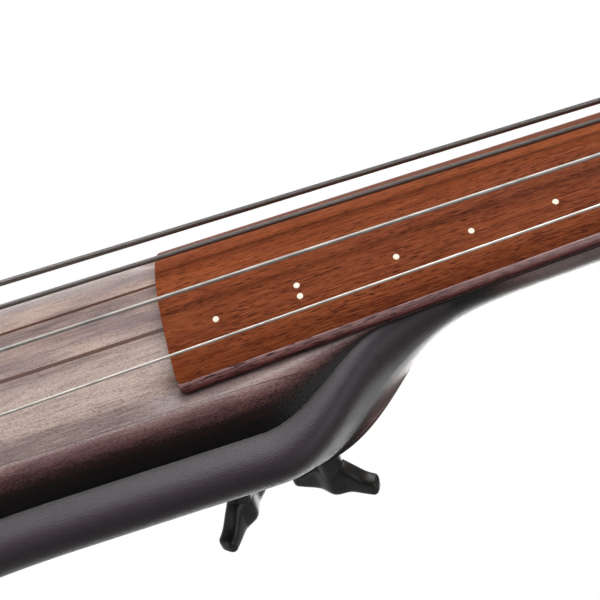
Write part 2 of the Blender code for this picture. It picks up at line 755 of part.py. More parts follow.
def winding_points(i):
    """From the nut to the post and round it, on its waist, turn over turn."""
    along, across, side = tuner_places()[i]
    radius = STRING_RADII[i]
    wrap = POST_WAIST + GAP + radius
    pitch = 2 * radius + WINDING_CLEAR
    start = head_frame(0, 0).inverted() @ place(NUT_END, *string_at_nut(i))
    offset = np.array((start.x - across, start.y - along))
    distance = math.hypot(*offset)
    first = math.atan2(offset[1], offset[0]) - side * math.acos(wrap / distance)
    height = POST_FOOT + 0.0006 + radius
    count = int(24 * WINDING_TURNS)
    points = []
    for k in range(count + 1):
        angle = first - side * TURN * k / 24
        points.append((across + wrap * math.cos(angle), along + wrap * math.sin(angle),
                       height + pitch * k / 24))
    away = np.array(points[-1]) - np.array(points[-2])
    away[2] = 0
    points.append(tuple(np.array(points[-1]) + away / np.linalg.norm(away) * 2 * radius))
    return [head_frame(0, 0) @ Vector(point) for point in points]


def least_gap(points, radius):
    """Least distance between stretches of one tube that aren't neighbours."""
    fine = np.array([points[j].lerp(points[j + 1], s / 3)
                     for j in range(len(points) - 1) for s in range(3)])
    run = np.concatenate(((0,), np.cumsum(np.linalg.norm(np.diff(fine, axis=0), axis=1))))
    apart = np.linalg.norm(fine[:, None] - fine[None], axis=2)
    far = np.abs(run[:, None] - run[None]) > 4 * radius + 0.004
    return apart[far].min() - 2 * radius


TAIL_END = TAIL_FRONT - TAIL_LENGTH
BALL_LENGTH = 0.005
BALL_RADIUS = 0.0029


def tail_string_height():
    return body_top(TAIL_FRONT) + TAIL_HEIGHT * 0.55


def make_string(i):
    v_bridge, w_bridge = string_at_bridge(i)
    v_nut, w_nut = string_at_nut(i)
    radius = STRING_RADII[i]
    fall = arc(ARCH_RADIUS + TAIL_HEIGHT, v_bridge)
    tail = Vector((0, v_bridge, tail_string_height() + fall))
    bend = place(-SADDLE_THICK / 2, v_bridge, w_bridge)
    stop = place(TAIL_END - GAP, tail.y, tail.z)
    direction = (stop - place(TAIL_FRONT, tail.y, tail.z)).normalized()
    ball_end = stop + direction * BALL_LENGTH
    points = [ball_end, stop, stop - direction * 0.0001,
              place(TAIL_FRONT, tail.y, tail.z), bend,
              place(SCALE_LENGTH, v_nut, w_nut), place(NUT_END, v_nut, w_nut)]
    wound = winding_points(i)
    radii = [BALL_RADIUS, BALL_RADIUS] + [radius] * (len(points) - 2 + len(wound))
    tube(f"string_{STRING_NAMES[i]}", points + wound, radii, STEEL if i > 1 else WOUND)
    print(f"string {STRING_NAMES[i]}: least gap to itself on the post "
          f"{1000 * least_gap(wound, radius):.2f} mm")


# Bridge with its pickup bar, height wheels and tailpiece

def bridge_levels():
    """Heights of the joints between wheel, base, pickup bar and saddle."""
    wheel_low = body_top(0) + arc(ARCH_RADIUS, WHEEL_OFFSET - WHEEL_RADIUS) + 0.0004
    wheel_high = wheel_low + WHEEL_THICK
    base_low = wheel_high + GAP
    base_high = base_low + BRIDGE_BASE
    bar_low = base_high + GAP
    bar_high = bar_low + PICKUP_THICK
    return wheel_low, wheel_high, base_low, base_high, bar_low, bar_high


def make_bridge():
    wheel_low, wheel_high, base_low, base_high, bar_low, bar_high = bridge_levels()
    base = block("bridge_base", place(-BRIDGE_THICK / 2, -BRIDGE_HALF, base_high),
                 place(BRIDGE_THICK / 2, BRIDGE_HALF, base_low), ROSEWOOD, edge=0.0012)
    block("pickup_bar", place(-SADDLE_THICK / 2, -BRIDGE_HALF + 0.004, bar_high),
          place(SADDLE_THICK / 2, BRIDGE_HALF - 0.004, bar_low), BLACK_PLASTIC)
    saddle_low = bar_high + GAP
    v = np.linspace(-BRIDGE_HALF, BRIDGE_HALF, 15)
    top = [(x, BRIDGE_STRING_HEIGHT + arc(BRIDGE_ARC, x)) for x in v]
    section = top + [(BRIDGE_HALF, saddle_low), (-BRIDGE_HALF, saddle_low)]
    rings = [[place(u, x, w) for x, w in section]
             for u in (-SADDLE_THICK / 2, SADDLE_THICK / 2)]
    saddle = add_object("bridge_saddle", loft_mesh("bridge_saddle", rings), EBONY)
    for i in range(4):
        v_string, w_string = string_at_bridge(i)
        where = Matrix.Translation(place(0, v_string, w_string))
        cut(saddle, string_groove("saddle_groove", i, where, SADDLE_THICK))
    for side, side_name in ((-1, "bass"), (1, "treble")):
        where = frame_at(0, side * WHEEL_OFFSET, 0)
        stud_low = wheel_low - STUD_DEPTH
        stud_high = base_low + BRIDGE_BASE * 0.6
        profile = [(0, stud_high), (STUD_RADIUS, stud_high), (STUD_RADIUS, wheel_high),
                   (WHEEL_RADIUS - 0.0005, wheel_high), (WHEEL_RADIUS, wheel_high - 0.0005),
                   (WHEEL_RADIUS, wheel_low + 0.0005), (WHEEL_RADIUS - 0.0005, wheel_low),
                   (STUD_RADIUS, wheel_low), (STUD_RADIUS, stud_low), (0, stud_low)]
        turned(f"height_wheel_{side_name}", profile, BRASS, where, sides=12)
        cut(WOOD[f"neck_side_{side_name}"],
            rod(f"stud_hole_{side_name}", STUD_RADIUS + GAP, stud_low - GAP, 0.0,
                where=where, cutter=True, sides=16))
        cut(base, rod(f"base_hole_{side_name}", STUD_RADIUS + GAP, base_low - 0.002,
                      stud_high + GAP, where=where, cutter=True, sides=16))


def make_tailpiece():
    """An arched block on the body's top, drilled for the strings."""
    v = np.linspace(-TAIL_HALF, TAIL_HALF, 13)
    v_low = np.clip(v, -RIDGE_HALF, RIDGE_HALF)
    low = body_top(TAIL_FRONT) + arc(ARCH_RADIUS, v_low) + GAP
    high = body_top(TAIL_FRONT) + arc(ARCH_RADIUS + TAIL_HEIGHT, v) + TAIL_HEIGHT
    section = list(zip(v, high)) + list(zip(v, low))[::-1]
    rings = [[place(u, x, w) for x, w in section] for u in (TAIL_END, TAIL_FRONT)]
    tail = add_object("tailpiece", loft_mesh("tailpiece", rings), EBONY)
    for i in range(4):
        v_bridge, _ = string_at_bridge(i)
        fall = arc(ARCH_RADIUS + TAIL_HEIGHT, v_bridge)
        where = Matrix.Translation(place(TAIL_END, v_bridge, tail_string_height() + fall))
        cut(tail, rod(f"tail_hole_{i}", STRING_RADII[i] + 0.0004, -0.05, 0.05, where=where,
                      cutter=True, sides=12))


# Controls, jack and battery

def knob_place(k):
    """Frame on the arched top whose Z axis stands square to the surface."""
    u = KNOB_FIRST - k * KNOB_STEP
    lean = math.asin(KNOB_OFFSET / ARCH_RADIUS)
    height = body_top(u) + arc(ARCH_RADIUS, KNOB_OFFSET)
    return frame_at(u, KNOB_OFFSET, height, tilt=lean)


def pocket(name, side, low, high, half):
    """A pocket let into the back on one side, between two places along u."""
    middle = side * POCKET_MIDDLE
    return block(name, place(low, middle - half, -BODY_BACK + POCKET_DEPTH),
                 place(high, middle + half, -BODY_BACK - 0.01), cutter=True)


def make_controls():
    low = KNOB_FIRST - (len(KNOB_NAMES) - 1) * KNOB_STEP - 0.016
    high = KNOB_FIRST + 0.016
    wood = WOOD["neck_side_treble"]
    cut(wood, pocket("control_pocket", 1, low, high, POCKET_HALF))
    for k, knob_name in enumerate(KNOB_NAMES):
        where = knob_place(k)
        cut(wood,
            rod(f"shaft_hole_{k}", SHAFT_RADIUS + 2 * GAP, -0.03, 0.01, where=where,
                cutter=True),
            rod(f"pot_recess_{k}", POT_RADIUS + GAP, -0.032, -TOP_WALL, where=where,
                cutter=True, sides=20))
        profile = [(0, KNOB_HEIGHT), (KNOB_RADIUS - 0.0022, KNOB_HEIGHT),
                   (KNOB_RADIUS - 0.0010, KNOB_HEIGHT - 0.0012), (KNOB_RADIUS, 0.0026),
                   (KNOB_RADIUS, 0.0014), (SHAFT_RADIUS, 0.0014),
                   (SHAFT_RADIUS, -TOP_WALL + 0.0008), (0, -TOP_WALL + 0.0008)]
        turned(f"knob_{knob_name}", profile, BLACK_PLASTIC, where, sides=18)
        pot_top = -TOP_WALL - GAP
        pot = [(0, pot_top), (POT_RADIUS, pot_top), (POT_RADIUS, pot_top - POT_HEIGHT),
               (0, pot_top - POT_HEIGHT)]
        turned(f"potentiometer_{knob_name}", pot, STEEL, where, sides=12)
    board_low = -BODY_BACK + 0.004
    block("circuit_board", place(low + 0.006, POCKET_MIDDLE - POCKET_HALF + GAP, board_low),
          place(high - 0.006, POCKET_MIDDLE + POCKET_HALF - GAP, board_low - 0.0016),
          BOARD_GREEN)
    cover_at = frame_at((low + high) / 2, POCKET_MIDDLE, -BODY_BACK - GAP - COVER_THICK / 2)
    outline = rounded_box_outline(POCKET_HALF + 0.0030, (high - low) / 2 + 0.005, 0.004)
    plate("control_cover", outline, COVER_THICK, BLACK_PLASTIC, cover_at, edge=0.0004)


def make_jack():
    """A round socket let into the treble side, in a flat cut for it."""
    face_v = CREASE_HALF + LOWER_BOUT + 0.008
    depth = mix(CREASE_DEPTH, BODY_BACK, 0.40)
    where = (Matrix.Translation(place(JACK_U, face_v, -depth))
             @ Matrix.Rotation(math.pi / 2, 4, "Y"))
    cut(WOOD["body_wing_treble"],
        rod("jack_face", JACK_FLANGE + 0.0008, 0, 0.05, where=where, cutter=True, sides=20),
        rod("jack_hole", JACK_RADIUS + GAP, -0.0275, 0.01, where=where, cutter=True))
    flange = 0.0022
    jack = turned("output_jack", [(0.0035, flange + GAP), (JACK_FLANGE, flange + GAP - 0.0006),
                                  (JACK_FLANGE, GAP), (JACK_RADIUS, GAP),
                                  (JACK_RADIUS, -JACK_LENGTH), (0, -JACK_LENGTH),
                                  (0, -JACK_LENGTH + 0.003),
                                  (JACK_BORE, -JACK_LENGTH + 0.003),
                                  (JACK_BORE, flange + GAP - 0.0002),
                                  (0.0035, flange + GAP)], CHROME, where, sides=16)
    return jack


def make_battery():
    thick, length, deep = BATTERY_SIZE
    clear = 0.0005
    inner_half = thick / 2 + clear
    outer_half = inner_half + TRAY_WALL
    middle = -POCKET_MIDDLE
    back = -BODY_BACK
    inner_low, inner_high = BATTERY_U - length / 2 - clear, BATTERY_U + length / 2 + clear
    deep_end = back + deep + 2 * clear
    cut(WOOD["neck_side_bass"],
        block("battery_pocket",
              place(inner_low - TRAY_WALL - GAP, middle - outer_half - GAP,
                    deep_end + TRAY_WALL + GAP),
              place(inner_high + TRAY_WALL + GAP, middle + outer_half + GAP, back - 0.01),
              cutter=True))
    flange = 0.0012
    rim = 0.0025
    tray = block("battery_tray",
                 place(inner_low - TRAY_WALL, middle - outer_half, deep_end + TRAY_WALL),
                 place(inner_high + TRAY_WALL, middle + outer_half, back - GAP - flange / 2),
                 BLACK_PLASTIC)
    lip = block("tray_lip",
                place(inner_low - TRAY_WALL - rim, middle - outer_half - rim, back - GAP),
                place(inner_high + TRAY_WALL + rim, middle + outer_half + rim,
                      back - GAP - flange), cutter=True)
    hinge_v = middle - outer_half - rim - HINGE_RADIUS + 0.0005
    hinge_w = back - GAP - flange - HINGE_RADIUS - GAP
    ear_half = length / 2 + 0.0035
    join(tray, lip)
    for end in (-1, 1):
        ear = block(f"hinge_ear_{end}",
                    place(BATTERY_U + end * (ear_half - 0.003), hinge_v - HINGE_RADIUS,
                          back - GAP),
                    place(BATTERY_U + end * ear_half, middle - outer_half - 0.0005,
                          hinge_w - HINGE_RADIUS), cutter=True)
        join(tray, ear)
    inside = block("tray_inside", place(inner_low, middle - inner_half, deep_end),
                   place(inner_high, middle + inner_half, back - 0.01), cutter=True)
    pin_at = Matrix.Translation(place(BATTERY_U, hinge_v, hinge_w))
    cut(tray, inside, rod("pin_bore", HINGE_PIN + GAP, -0.05, 0.05, where=pin_at, cutter=True))

    barrel_half = ear_half - 0.003 - GAP
    door = rod("battery_door", HINGE_RADIUS, -barrel_half, barrel_half, BLACK_PLASTIC, pin_at)
    pin = rod("door_pin", HINGE_PIN, -ear_half, ear_half, where=pin_at, cutter=True, sides=12)
    leaf_high = back - GAP - flange - GAP
    leaf = block("door_leaf",
                 pin_at.inverted() @ place(BATTERY_U - barrel_half, hinge_v, leaf_high),
                 pin_at.inverted() @ place(BATTERY_U + barrel_half,
                                           middle + outer_half + rim, leaf_high - DOOR_THICK),
                 where=pin_at, cutter=True)
    join(door, pin, leaf)
    block("battery", place(BATTERY_U - length / 2, middle - thick / 2, back + deep + clear),
          place(BATTERY_U + length / 2, middle + thick / 2, back + clear), CELL, edge=0.0015)


# Stand: socket on the back, tubes, hub, legs and feet

def make_socket():
    """A cast socket on the back that grips the tube, with a boss for each bolt."""
    back = -BODY_BACK
    outer = TUBE_RADIUS + GAP + SOCKET_WALL
    axis = Matrix.Translation(place(0, 0, -TUBE_BACK))
    socket = block("stand_socket", place(SOCKET_FOOT - 0.006, -SOCKET_HALF, back - GAP),
                   place(SOCKET_TOP + 0.002, SOCKET_HALF, back - GAP - SOCKET_PLATE),
                   BLACK_METAL)
    barrel = rod("socket_barrel", outer, SOCKET_FOOT, SOCKET_TOP, where=axis, cutter=True,
                 sides=24)
    web = block("socket_web", place(SOCKET_FOOT, -outer * 0.96, back - GAP - 0.001),
                place(SOCKET_TOP, outer * 0.96, -TUBE_BACK), cutter=True)
    join(socket, barrel, web)
    bore = rod("socket_bore", TUBE_RADIUS + GAP, SOCKET_FOOT - 0.02, SOCKET_TOP - 0.003,
               where=axis, cutter=True, sides=24)
    boss_end = outer + BOSS_LENGTH
    for k, u in enumerate(BOLT_PLACES):
        back_out = frame_at(u, 0, -TUBE_BACK) @ Matrix.Rotation(math.pi, 4, "X")
        boss = rod(f"bolt_boss_{k}", BOSS_RADIUS, outer - 0.004, boss_end, where=back_out,
                   cutter=True, sides=14)
        join(socket, boss)
    cut(socket, bore)
    for k, u in enumerate(BOLT_PLACES):
        back_out = frame_at(u, 0, -TUBE_BACK) @ Matrix.Rotation(math.pi, 4, "X")
        cut(socket, rod(f"bolt_bore_{k}", BOLT_RADIUS + GAP, TUBE_RADIUS - 0.001,
                        boss_end + 0.002, where=back_out, cutter=True))
        wing_bolt(f"wing_bolt_{('lower', 'upper')[k]}",
                  back_out @ Matrix.Rotation(BOLT_TURNS[k], 4, "Z"),
                  TUBE_RADIUS + GAP, boss_end + GAP)


def wing_outline():
    """Half of the wing seen from its side, mirrored: deep at the hub, thin at the tip."""
    top = [(0, 0.0010), (0.006, 0.0025), (0.012, 0.0062), (WING_HALF - 0.003, 0.0108),
           (WING_HALF - 0.0008, 0.0125)]
    low = [(WING_HALF, 0.0150), (WING_HALF, 0.0110 + WING_TIP - 0.0030),
           (WING_HALF - 0.002, 0.0110 + WING_TIP - 0.0010),
           (0.012, 0.0102 + WING_TIP), (0.0075, 0.0118 + WING_TIP), (0, 0.0130 + WING_TIP)]
    half = top + low
    return half + [(-x, y) for x, y in half[-2:0:-1]]


def wing_bolt(name, where, tip, seat):
    """A threaded shank with a moulded hub and two wings, turned on its Z axis."""
    profile = [(0, seat + WING_HUB), (WING_HUB_RADIUS - 0.001, seat + WING_HUB),
               (WING_HUB_RADIUS, seat + WING_HUB - 0.001), (WING_HUB_RADIUS, seat),
               (BOLT_RADIUS, seat), (BOLT_RADIUS, tip), (0, tip)]
    bolt = turned(name, profile, BLACK_PLASTIC, where, sides=12)
    stand_up = where @ Matrix.Translation((0, 0, seat + WING_NECK)) @ Matrix.Rotation(
        math.pi / 2, 4, "X")
    wings = plate(name + "_wings", wing_outline(), WING_THICK, where=stand_up, cutter=True,
                  edge=0.0018)
    join(bolt, wings)
    return bolt


def make_tubes():
    middle = Matrix.Translation((0, STAND_Y, 0))
    inner_top = BRIDGE_Z + SOCKET_TOP - 0.003 - GAP
    inner_foot = OUTER_TOP - TUBE_OVERLAP

    def pipe(name, radius, wall, low, high, look):
        turned(name, [(radius, high), (radius, low), (radius - wall, low),
                      (radius - wall, high), (radius, high)], look, middle, sides=24)

    pipe("inner_tube", TUBE_RADIUS, TUBE_WALL, inner_foot, inner_top, STEEL)
    pipe("outer_tube", OUTER_RADIUS, OUTER_RADIUS - TUBE_RADIUS - GAP, OUTER_FOOT, OUTER_TOP,
         BLACK_METAL)
    collar_low = OUTER_TOP - 0.024
    collar_high = collar_low + COLLAR_HEIGHT
    profile = [(TUBE_RADIUS + GAP, collar_high), (COLLAR_RADIUS - 0.003, collar_high),
               (COLLAR_RADIUS, collar_high - 0.003), (COLLAR_RADIUS, collar_low + 0.002),
               (COLLAR_RADIUS - 0.002, collar_low), (OUTER_RADIUS + GAP, collar_low),
               (OUTER_RADIUS + GAP, OUTER_TOP + GAP), (TUBE_RADIUS + GAP, OUTER_TOP + GAP),
               (TUBE_RADIUS + GAP, collar_high)]
    collar = turned("height_collar", profile, BLACK_PLASTIC, middle, sides=16)
    height = (OUTER_TOP + GAP + collar_high) / 2
    out = (Matrix.Translation((0, STAND_Y, height)) @ Matrix.Rotation(-math.pi / 2, 4, "X"))
    boss_end = COLLAR_RADIUS + 0.006
    boss = rod("collar_boss", 0.0056, TUBE_RADIUS + 0.002, boss_end, where=out, cutter=True)
    join(collar, boss)
    cut(collar, rod("collar_bore", BOLT_RADIUS + GAP, TUBE_RADIUS - 0.001, boss_end + 0.01,
                    where=out, cutter=True))
    wing_bolt("height_screw", out @ Matrix.Rotation(math.radians(60), 4, "Z"),
              TUBE_RADIUS + GAP, boss_end + GAP)


def leg_frame(angle):
    """On the leg's pin: X runs outwards, Z up, and Y along the pin."""
    turn = Matrix.Rotation(math.radians(angle), 4, "Z")
    return (Matrix.Translation((0, STAND_Y, 0)) @ turn
            @ Matrix.Translation((PIN_REACH, 0, PIN_Z)))


def make_hub():
    middle = Matrix.Translation((0, STAND_Y, 0))
    hub_top = HUB_FOOT + HUB_HEIGHT
    bore = OUTER_RADIUS + GAP
    floor = OUTER_FOOT - GAP
    profile = [(bore, hub_top), (HUB_RADIUS - 0.002, hub_top), (HUB_RADIUS, hub_top - 0.002),
               (HUB_RADIUS, HUB_FOOT + 0.003), (HUB_RADIUS - 0.003, HUB_FOOT),
               (0, HUB_FOOT), (0, floor), (bore, floor), (bore, hub_top)]
    hub = turned("stand_hub", profile, BLACK_METAL, middle, sides=20)
    slot = TONGUE_HALF + GAP
    cheek = ear_outline()
    for angle in LEG_ANGLES:
        at_pin = leg_frame(angle)
        for side in (-1, 1):
            shift = Matrix.Translation((0, side * (slot + CHEEK_THICK / 2), 0))
            where = at_pin @ shift @ Matrix.Rotation(math.pi / 2, 4, "X")
            join(hub, plate(f"cheek_{angle}_{side}", cheek, CHEEK_THICK, where=where,
                            cutter=True))
    for angle in LEG_ANGLES:
        cross = leg_frame(angle) @ Matrix.Rotation(math.pi / 2, 4, "X")
        cut(hub, rod(f"pin_hole_{angle}", PIN_RADIUS + GAP, -0.02, 0.02, where=cross,
                     cutter=True))


def ear_outline():
    """One cheek of the fork, from inside the hub's wall round the pin."""
    root = -(PIN_REACH - OUTER_RADIUS - 0.003)
    arc_points = [(TONGUE_REACH * math.cos(a), TONGUE_REACH * math.sin(a))
                  for a in np.radians(np.linspace(80, -80, 5))]
    return [(root, 0.021), *arc_points, (root, -0.026)]


def make_leg(number, angle):
    at_pin = leg_frame(angle)
    foot_middle = Vector((LEG_REACH - PIN_REACH, 0, FOOT_HEIGHT * 0.55 - PIN_Z))
    slope = math.atan2(-foot_middle.z, foot_middle.x)
    length = foot_middle.length
    down = Matrix.Rotation(slope, 4, "Y")
    seat = PIN_REACH - HUB_RADIUS - 2 * GAP
    heel_arc = [(-TONGUE_REACH * math.cos(a), -TONGUE_REACH * math.sin(a))
                for a in np.radians(np.linspace(0, 75, 6))]
    reach = LEG_START + 0.012
    rise = LEG_RADIUS * 0.82
    far = [(reach * math.cos(slope) + side * rise * math.sin(slope),
            -reach * math.sin(slope) + side * rise * math.cos(slope)) for side in (-1, 1)]
    tongue_outline = [(-seat, 0.0095), (-seat, 0.0035), *heel_arc[1:], *far, (0.004, 0.0110)]
    leg = plate(f"leg_{number}", tongue_outline, 2 * TONGUE_HALF, BLACK_METAL,
                at_pin @ Matrix.Rotation(math.pi / 2, 4, "X"))
    along = at_pin @ down @ Matrix.Rotation(math.pi / 2, 4, "Y")
    join(leg, rod(f"leg_tube_{number}", LEG_RADIUS, LEG_START, length, where=along,
                  cutter=True, sides=20))
    cross = at_pin @ Matrix.Rotation(math.pi / 2, 4, "X")
    cut(leg, rod(f"tongue_hole_{number}", PIN_RADIUS + GAP, -0.02, 0.02, where=cross,
                 cutter=True))
    half = TONGUE_HALF + GAP + CHEEK_THICK + GAP
    profile = [(0, half + 0.003), (PIN_HEAD - 0.001, half + 0.003), (PIN_HEAD, half + 0.002),
               (PIN_HEAD, half), (PIN_RADIUS, half), (PIN_RADIUS, -half), (PIN_HEAD, -half),
               (PIN_HEAD, -half - 0.003), (0, -half - 0.003)]
    turned(f"leg_pin_{number}", profile, STEEL, cross, sides=8)
    ground = at_pin @ Matrix.Translation((foot_middle.x, 0, -PIN_Z))
    foot = turned(f"foot_{number}",
                  [(0, FOOT_HEIGHT), (FOOT_RADIUS * 0.45, FOOT_HEIGHT - 0.001),
                   (FOOT_RADIUS * 0.8, FOOT_HEIGHT - 0.005), (FOOT_RADIUS * 0.96, 0.012),
                   (FOOT_RADIUS, 0.006), (FOOT_RADIUS - 0.0015, 0), (0, 0)],
                  RUBBER, ground, sides=12)
    cut(foot, rod(f"foot_hole_{number}", LEG_RADIUS + GAP, LEG_START, length + GAP,
                  where=along, cutter=True, sides=20))


make_fingerboard()
make_nut()
make_truss_rod()
make_rod_cover()
for string in range(4):
    make_tuner(string)
    make_string(string)
make_bridge()
make_tailpiece()
make_controls()
make_jack()
make_battery()
make_socket()
make_tubes()
make_hub()
for leg_number, leg_angle in enumerate(LEG_ANGLES, start=1):
    make_leg(leg_number, leg_angle)
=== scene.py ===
"""Looks of the electric upright bass: its wood, strings, fittings and stand.

A place along the instrument is given as (u, v, w): u runs from the bridge
towards the nut, v across to the treble side and w forwards, with w = 0 on the
crown line of the fingerboard. All lengths are in metres.
"""

import math

import bmesh
import bpy
import numpy as np
from mathutils import Matrix, Vector


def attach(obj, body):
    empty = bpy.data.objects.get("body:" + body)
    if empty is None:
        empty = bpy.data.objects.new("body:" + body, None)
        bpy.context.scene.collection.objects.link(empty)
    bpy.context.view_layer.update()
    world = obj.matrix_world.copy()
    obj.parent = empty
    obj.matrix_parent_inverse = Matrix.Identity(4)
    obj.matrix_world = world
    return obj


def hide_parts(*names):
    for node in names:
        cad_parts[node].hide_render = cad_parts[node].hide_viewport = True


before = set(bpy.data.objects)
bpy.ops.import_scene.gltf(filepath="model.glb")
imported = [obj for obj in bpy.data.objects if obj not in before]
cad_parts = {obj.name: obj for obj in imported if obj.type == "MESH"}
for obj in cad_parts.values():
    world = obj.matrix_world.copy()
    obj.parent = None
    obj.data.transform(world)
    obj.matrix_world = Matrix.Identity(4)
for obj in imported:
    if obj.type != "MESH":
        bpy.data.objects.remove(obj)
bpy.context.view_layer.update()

TURN = 2 * math.pi

# Strings and fingerboard
SCALE_LENGTH = 0.8636
STRING_NAMES = ("E", "A", "D", "G")
STRING_RADII = (0.00134, 0.00108, 0.00083, 0.00057)
BRIDGE_SPACING = 0.0295
NUT_SPACING = 0.0102
BRIDGE_STRING_HEIGHT = 0.0075
NUT_STRING_HEIGHT = 0.0018
BRIDGE_ARC = 0.108
BOARD_END = 0.1604
BOARD_HALF_END = 0.043
BOARD_HALF_NUT = 0.021
BOARD_RADIUS_END = 0.072
BOARD_RADIUS_NUT = 0.060
BOARD_EDGE = 0.006
NUT_LENGTH = 0.005
NUT_END = SCALE_LENGTH + NUT_LENGTH
DOT_RADIUS = 0.00125
DOT_PLACES = (27, 24, 21, 19, 17, 15, 12, 9, 7, 5, 3)
DOT_PAIR = 0.0024
DOT_ASIDE = 0.0014             # dots lie this much inside the D to G middle line

# Body and neck
BODY_END = -0.275
BODY_ROUND = 0.085
BODY_BACK = 0.078
ARCH_RADIUS = 0.100
ARCH_DROP = 0.00785
ARCH_FALL = 0.010
FALL_START = 0.075
FALL_END = 0.005
RIDGE_HALF = 0.0484
CREASE_HALF = 0.0600
CREASE_DEPTH = 0.0360
CREASE_LIP = 0.002
SLOPE_RISE = 0.0030
SIDE_OUT = 0.0358
SIDE_IN_LOW = 0.0062
SIDE_LIFT = 0.0024
BACK_HALF = 0.0518
LOWER_BOUT = 0.014
HEEL_START = 0.1906
HEEL_END = 0.3154
FLARE_START = 0.1856
FLARE_END = 0.2460
NECK_DEPTH_HEEL = 0.026
NECK_DEPTH_NUT = 0.021
STRIPE_INNER = 0.0137
STRIPE_OUTER = 0.0157

# Head
HEAD_TILT = math.radians(10)
HEAD_BLEND = 0.036
HEAD_SWELL = 0.055
HEAD_LENGTH = 0.196
HEAD_HALF = 0.041
HEAD_THICK = 0.016
HEAD_TIP = 0.088

# Where the bass stands
BRIDGE_Z = 0.800
LEG_REACH = 0.330
STAND_Y = -LEG_REACH / 4
TUBE_BACK = 0.103
BOARD_Y = STAND_Y - TUBE_BACK
GAP = 0.0003                   # between neighbouring pieces
NUT_BASE = math.sqrt(BOARD_RADIUS_NUT ** 2 - BOARD_HALF_NUT ** 2) - BOARD_RADIUS_NUT - BOARD_EDGE


def once_round(steps):
    """Even steps of angle once round, from 0."""
    return np.linspace(0, TURN, steps, endpoint=False)


def circle(angle):
    """Rows of (cos, sin)."""
    return np.column_stack((np.cos(angle), np.sin(angle)))


def place(u, v, w):
    """Row places of (u, v, w): X is v, Y is BOARD_Y - w and Z is BRIDGE_Z + u."""
    u, v, w = np.broadcast_arrays(u, v, w)
    return np.stack((v, BOARD_Y - w, BRIDGE_Z + u), axis=-1).astype(float)


def upright(u, v, w):
    """Matrix at a place, with Z along the strings."""
    return Matrix.Translation(Vector(place(u, v, w)))


def shifted(matrix, x=0.0, y=0.0, z=0.0):
    """The matrix moved along its own axes."""
    return matrix @ Matrix.Translation((x, y, z))


def spun(matrix, angle, axis="Z"):
    """The matrix turned about its own axis."""
    return matrix @ Matrix.Rotation(angle, 4, axis)


def backwards(matrix):
    """The matrix turned to look the other way along Z."""
    return spun(matrix, math.pi, "X")


def frame_at(u, v, w, forward=0.0, tilt=0.0):
    """Matrix whose Z axis looks out of the front, turned about the length."""
    axes = Matrix(((1, 0, 0), (0, 0, -1), (0, 1, 0))).to_4x4()
    lean = Matrix.Rotation(tilt, 4, "Z") @ Matrix.Rotation(-forward, 4, "X")
    return upright(u, v, w) @ lean @ axes


def head_frame(along, across, out=0.0):
    """Matrix on the head: X across, Y along it, Z out of its front."""
    return shifted(frame_at(NUT_END, 0, NUT_BASE, forward=HEAD_TILT), across, along, out)


def smooth(x):
    """3x^2 - 2x^3 between 0 and 1."""
    x = np.clip(x, 0, 1)
    return x * x * (3 - 2 * x)


def smoother(x):
    """6x^5 - 15x^4 + 10x^3 between 0 and 1."""
    x = np.clip(x, 0, 1)
    return x ** 3 * (x * (6 * x - 15) + 10)


def mix(a, b, share):
    """a + (b - a) share: a at 0 and b at 1."""
    return a + (b - a) * share


def arc(radius, v):
    """Fall of a circle of this radius at v from its highest point."""
    return np.sqrt(radius ** 2 - np.minimum(np.abs(v), 0.98 * radius) ** 2) - radius


def along_board(u):
    """0 at the board's end and 1 at the nut."""
    return (u - BOARD_END) / (SCALE_LENGTH - BOARD_END)


def board_half(u):
    """Half the board's width, which tapers evenly."""
    return mix(BOARD_HALF_END, BOARD_HALF_NUT, along_board(u))


def board_radius(u):
    """Radius of the board's arc, which changes evenly."""
    return mix(BOARD_RADIUS_END, BOARD_RADIUS_NUT, along_board(u))


def board_base(u):
    """Glue plane of the fingerboard, at or under its edges."""
    return arc(board_radius(u), board_half(u)) - BOARD_EDGE


def body_top(u):
    """Middle of the arched top, which falls a little towards the bridge."""
    return -ARCH_DROP - ARCH_FALL * smooth((FALL_START - u) / (FALL_START - FALL_END))


def string_at_bridge(i):
    """(v, w) of a string's middle over the bridge."""
    v = (i - 1.5) * BRIDGE_SPACING
    return v, BRIDGE_STRING_HEIGHT + float(arc(BRIDGE_ARC, v))


def string_at_nut(i):
    """(v, w) of a string's middle over the nut."""
    v = (i - 1.5) * NUT_SPACING
    return v, NUT_STRING_HEIGHT + float(arc(BOARD_RADIUS_NUT, v))


# Materials. Each reads Object coordinates in metres, or its piece's own attribute.

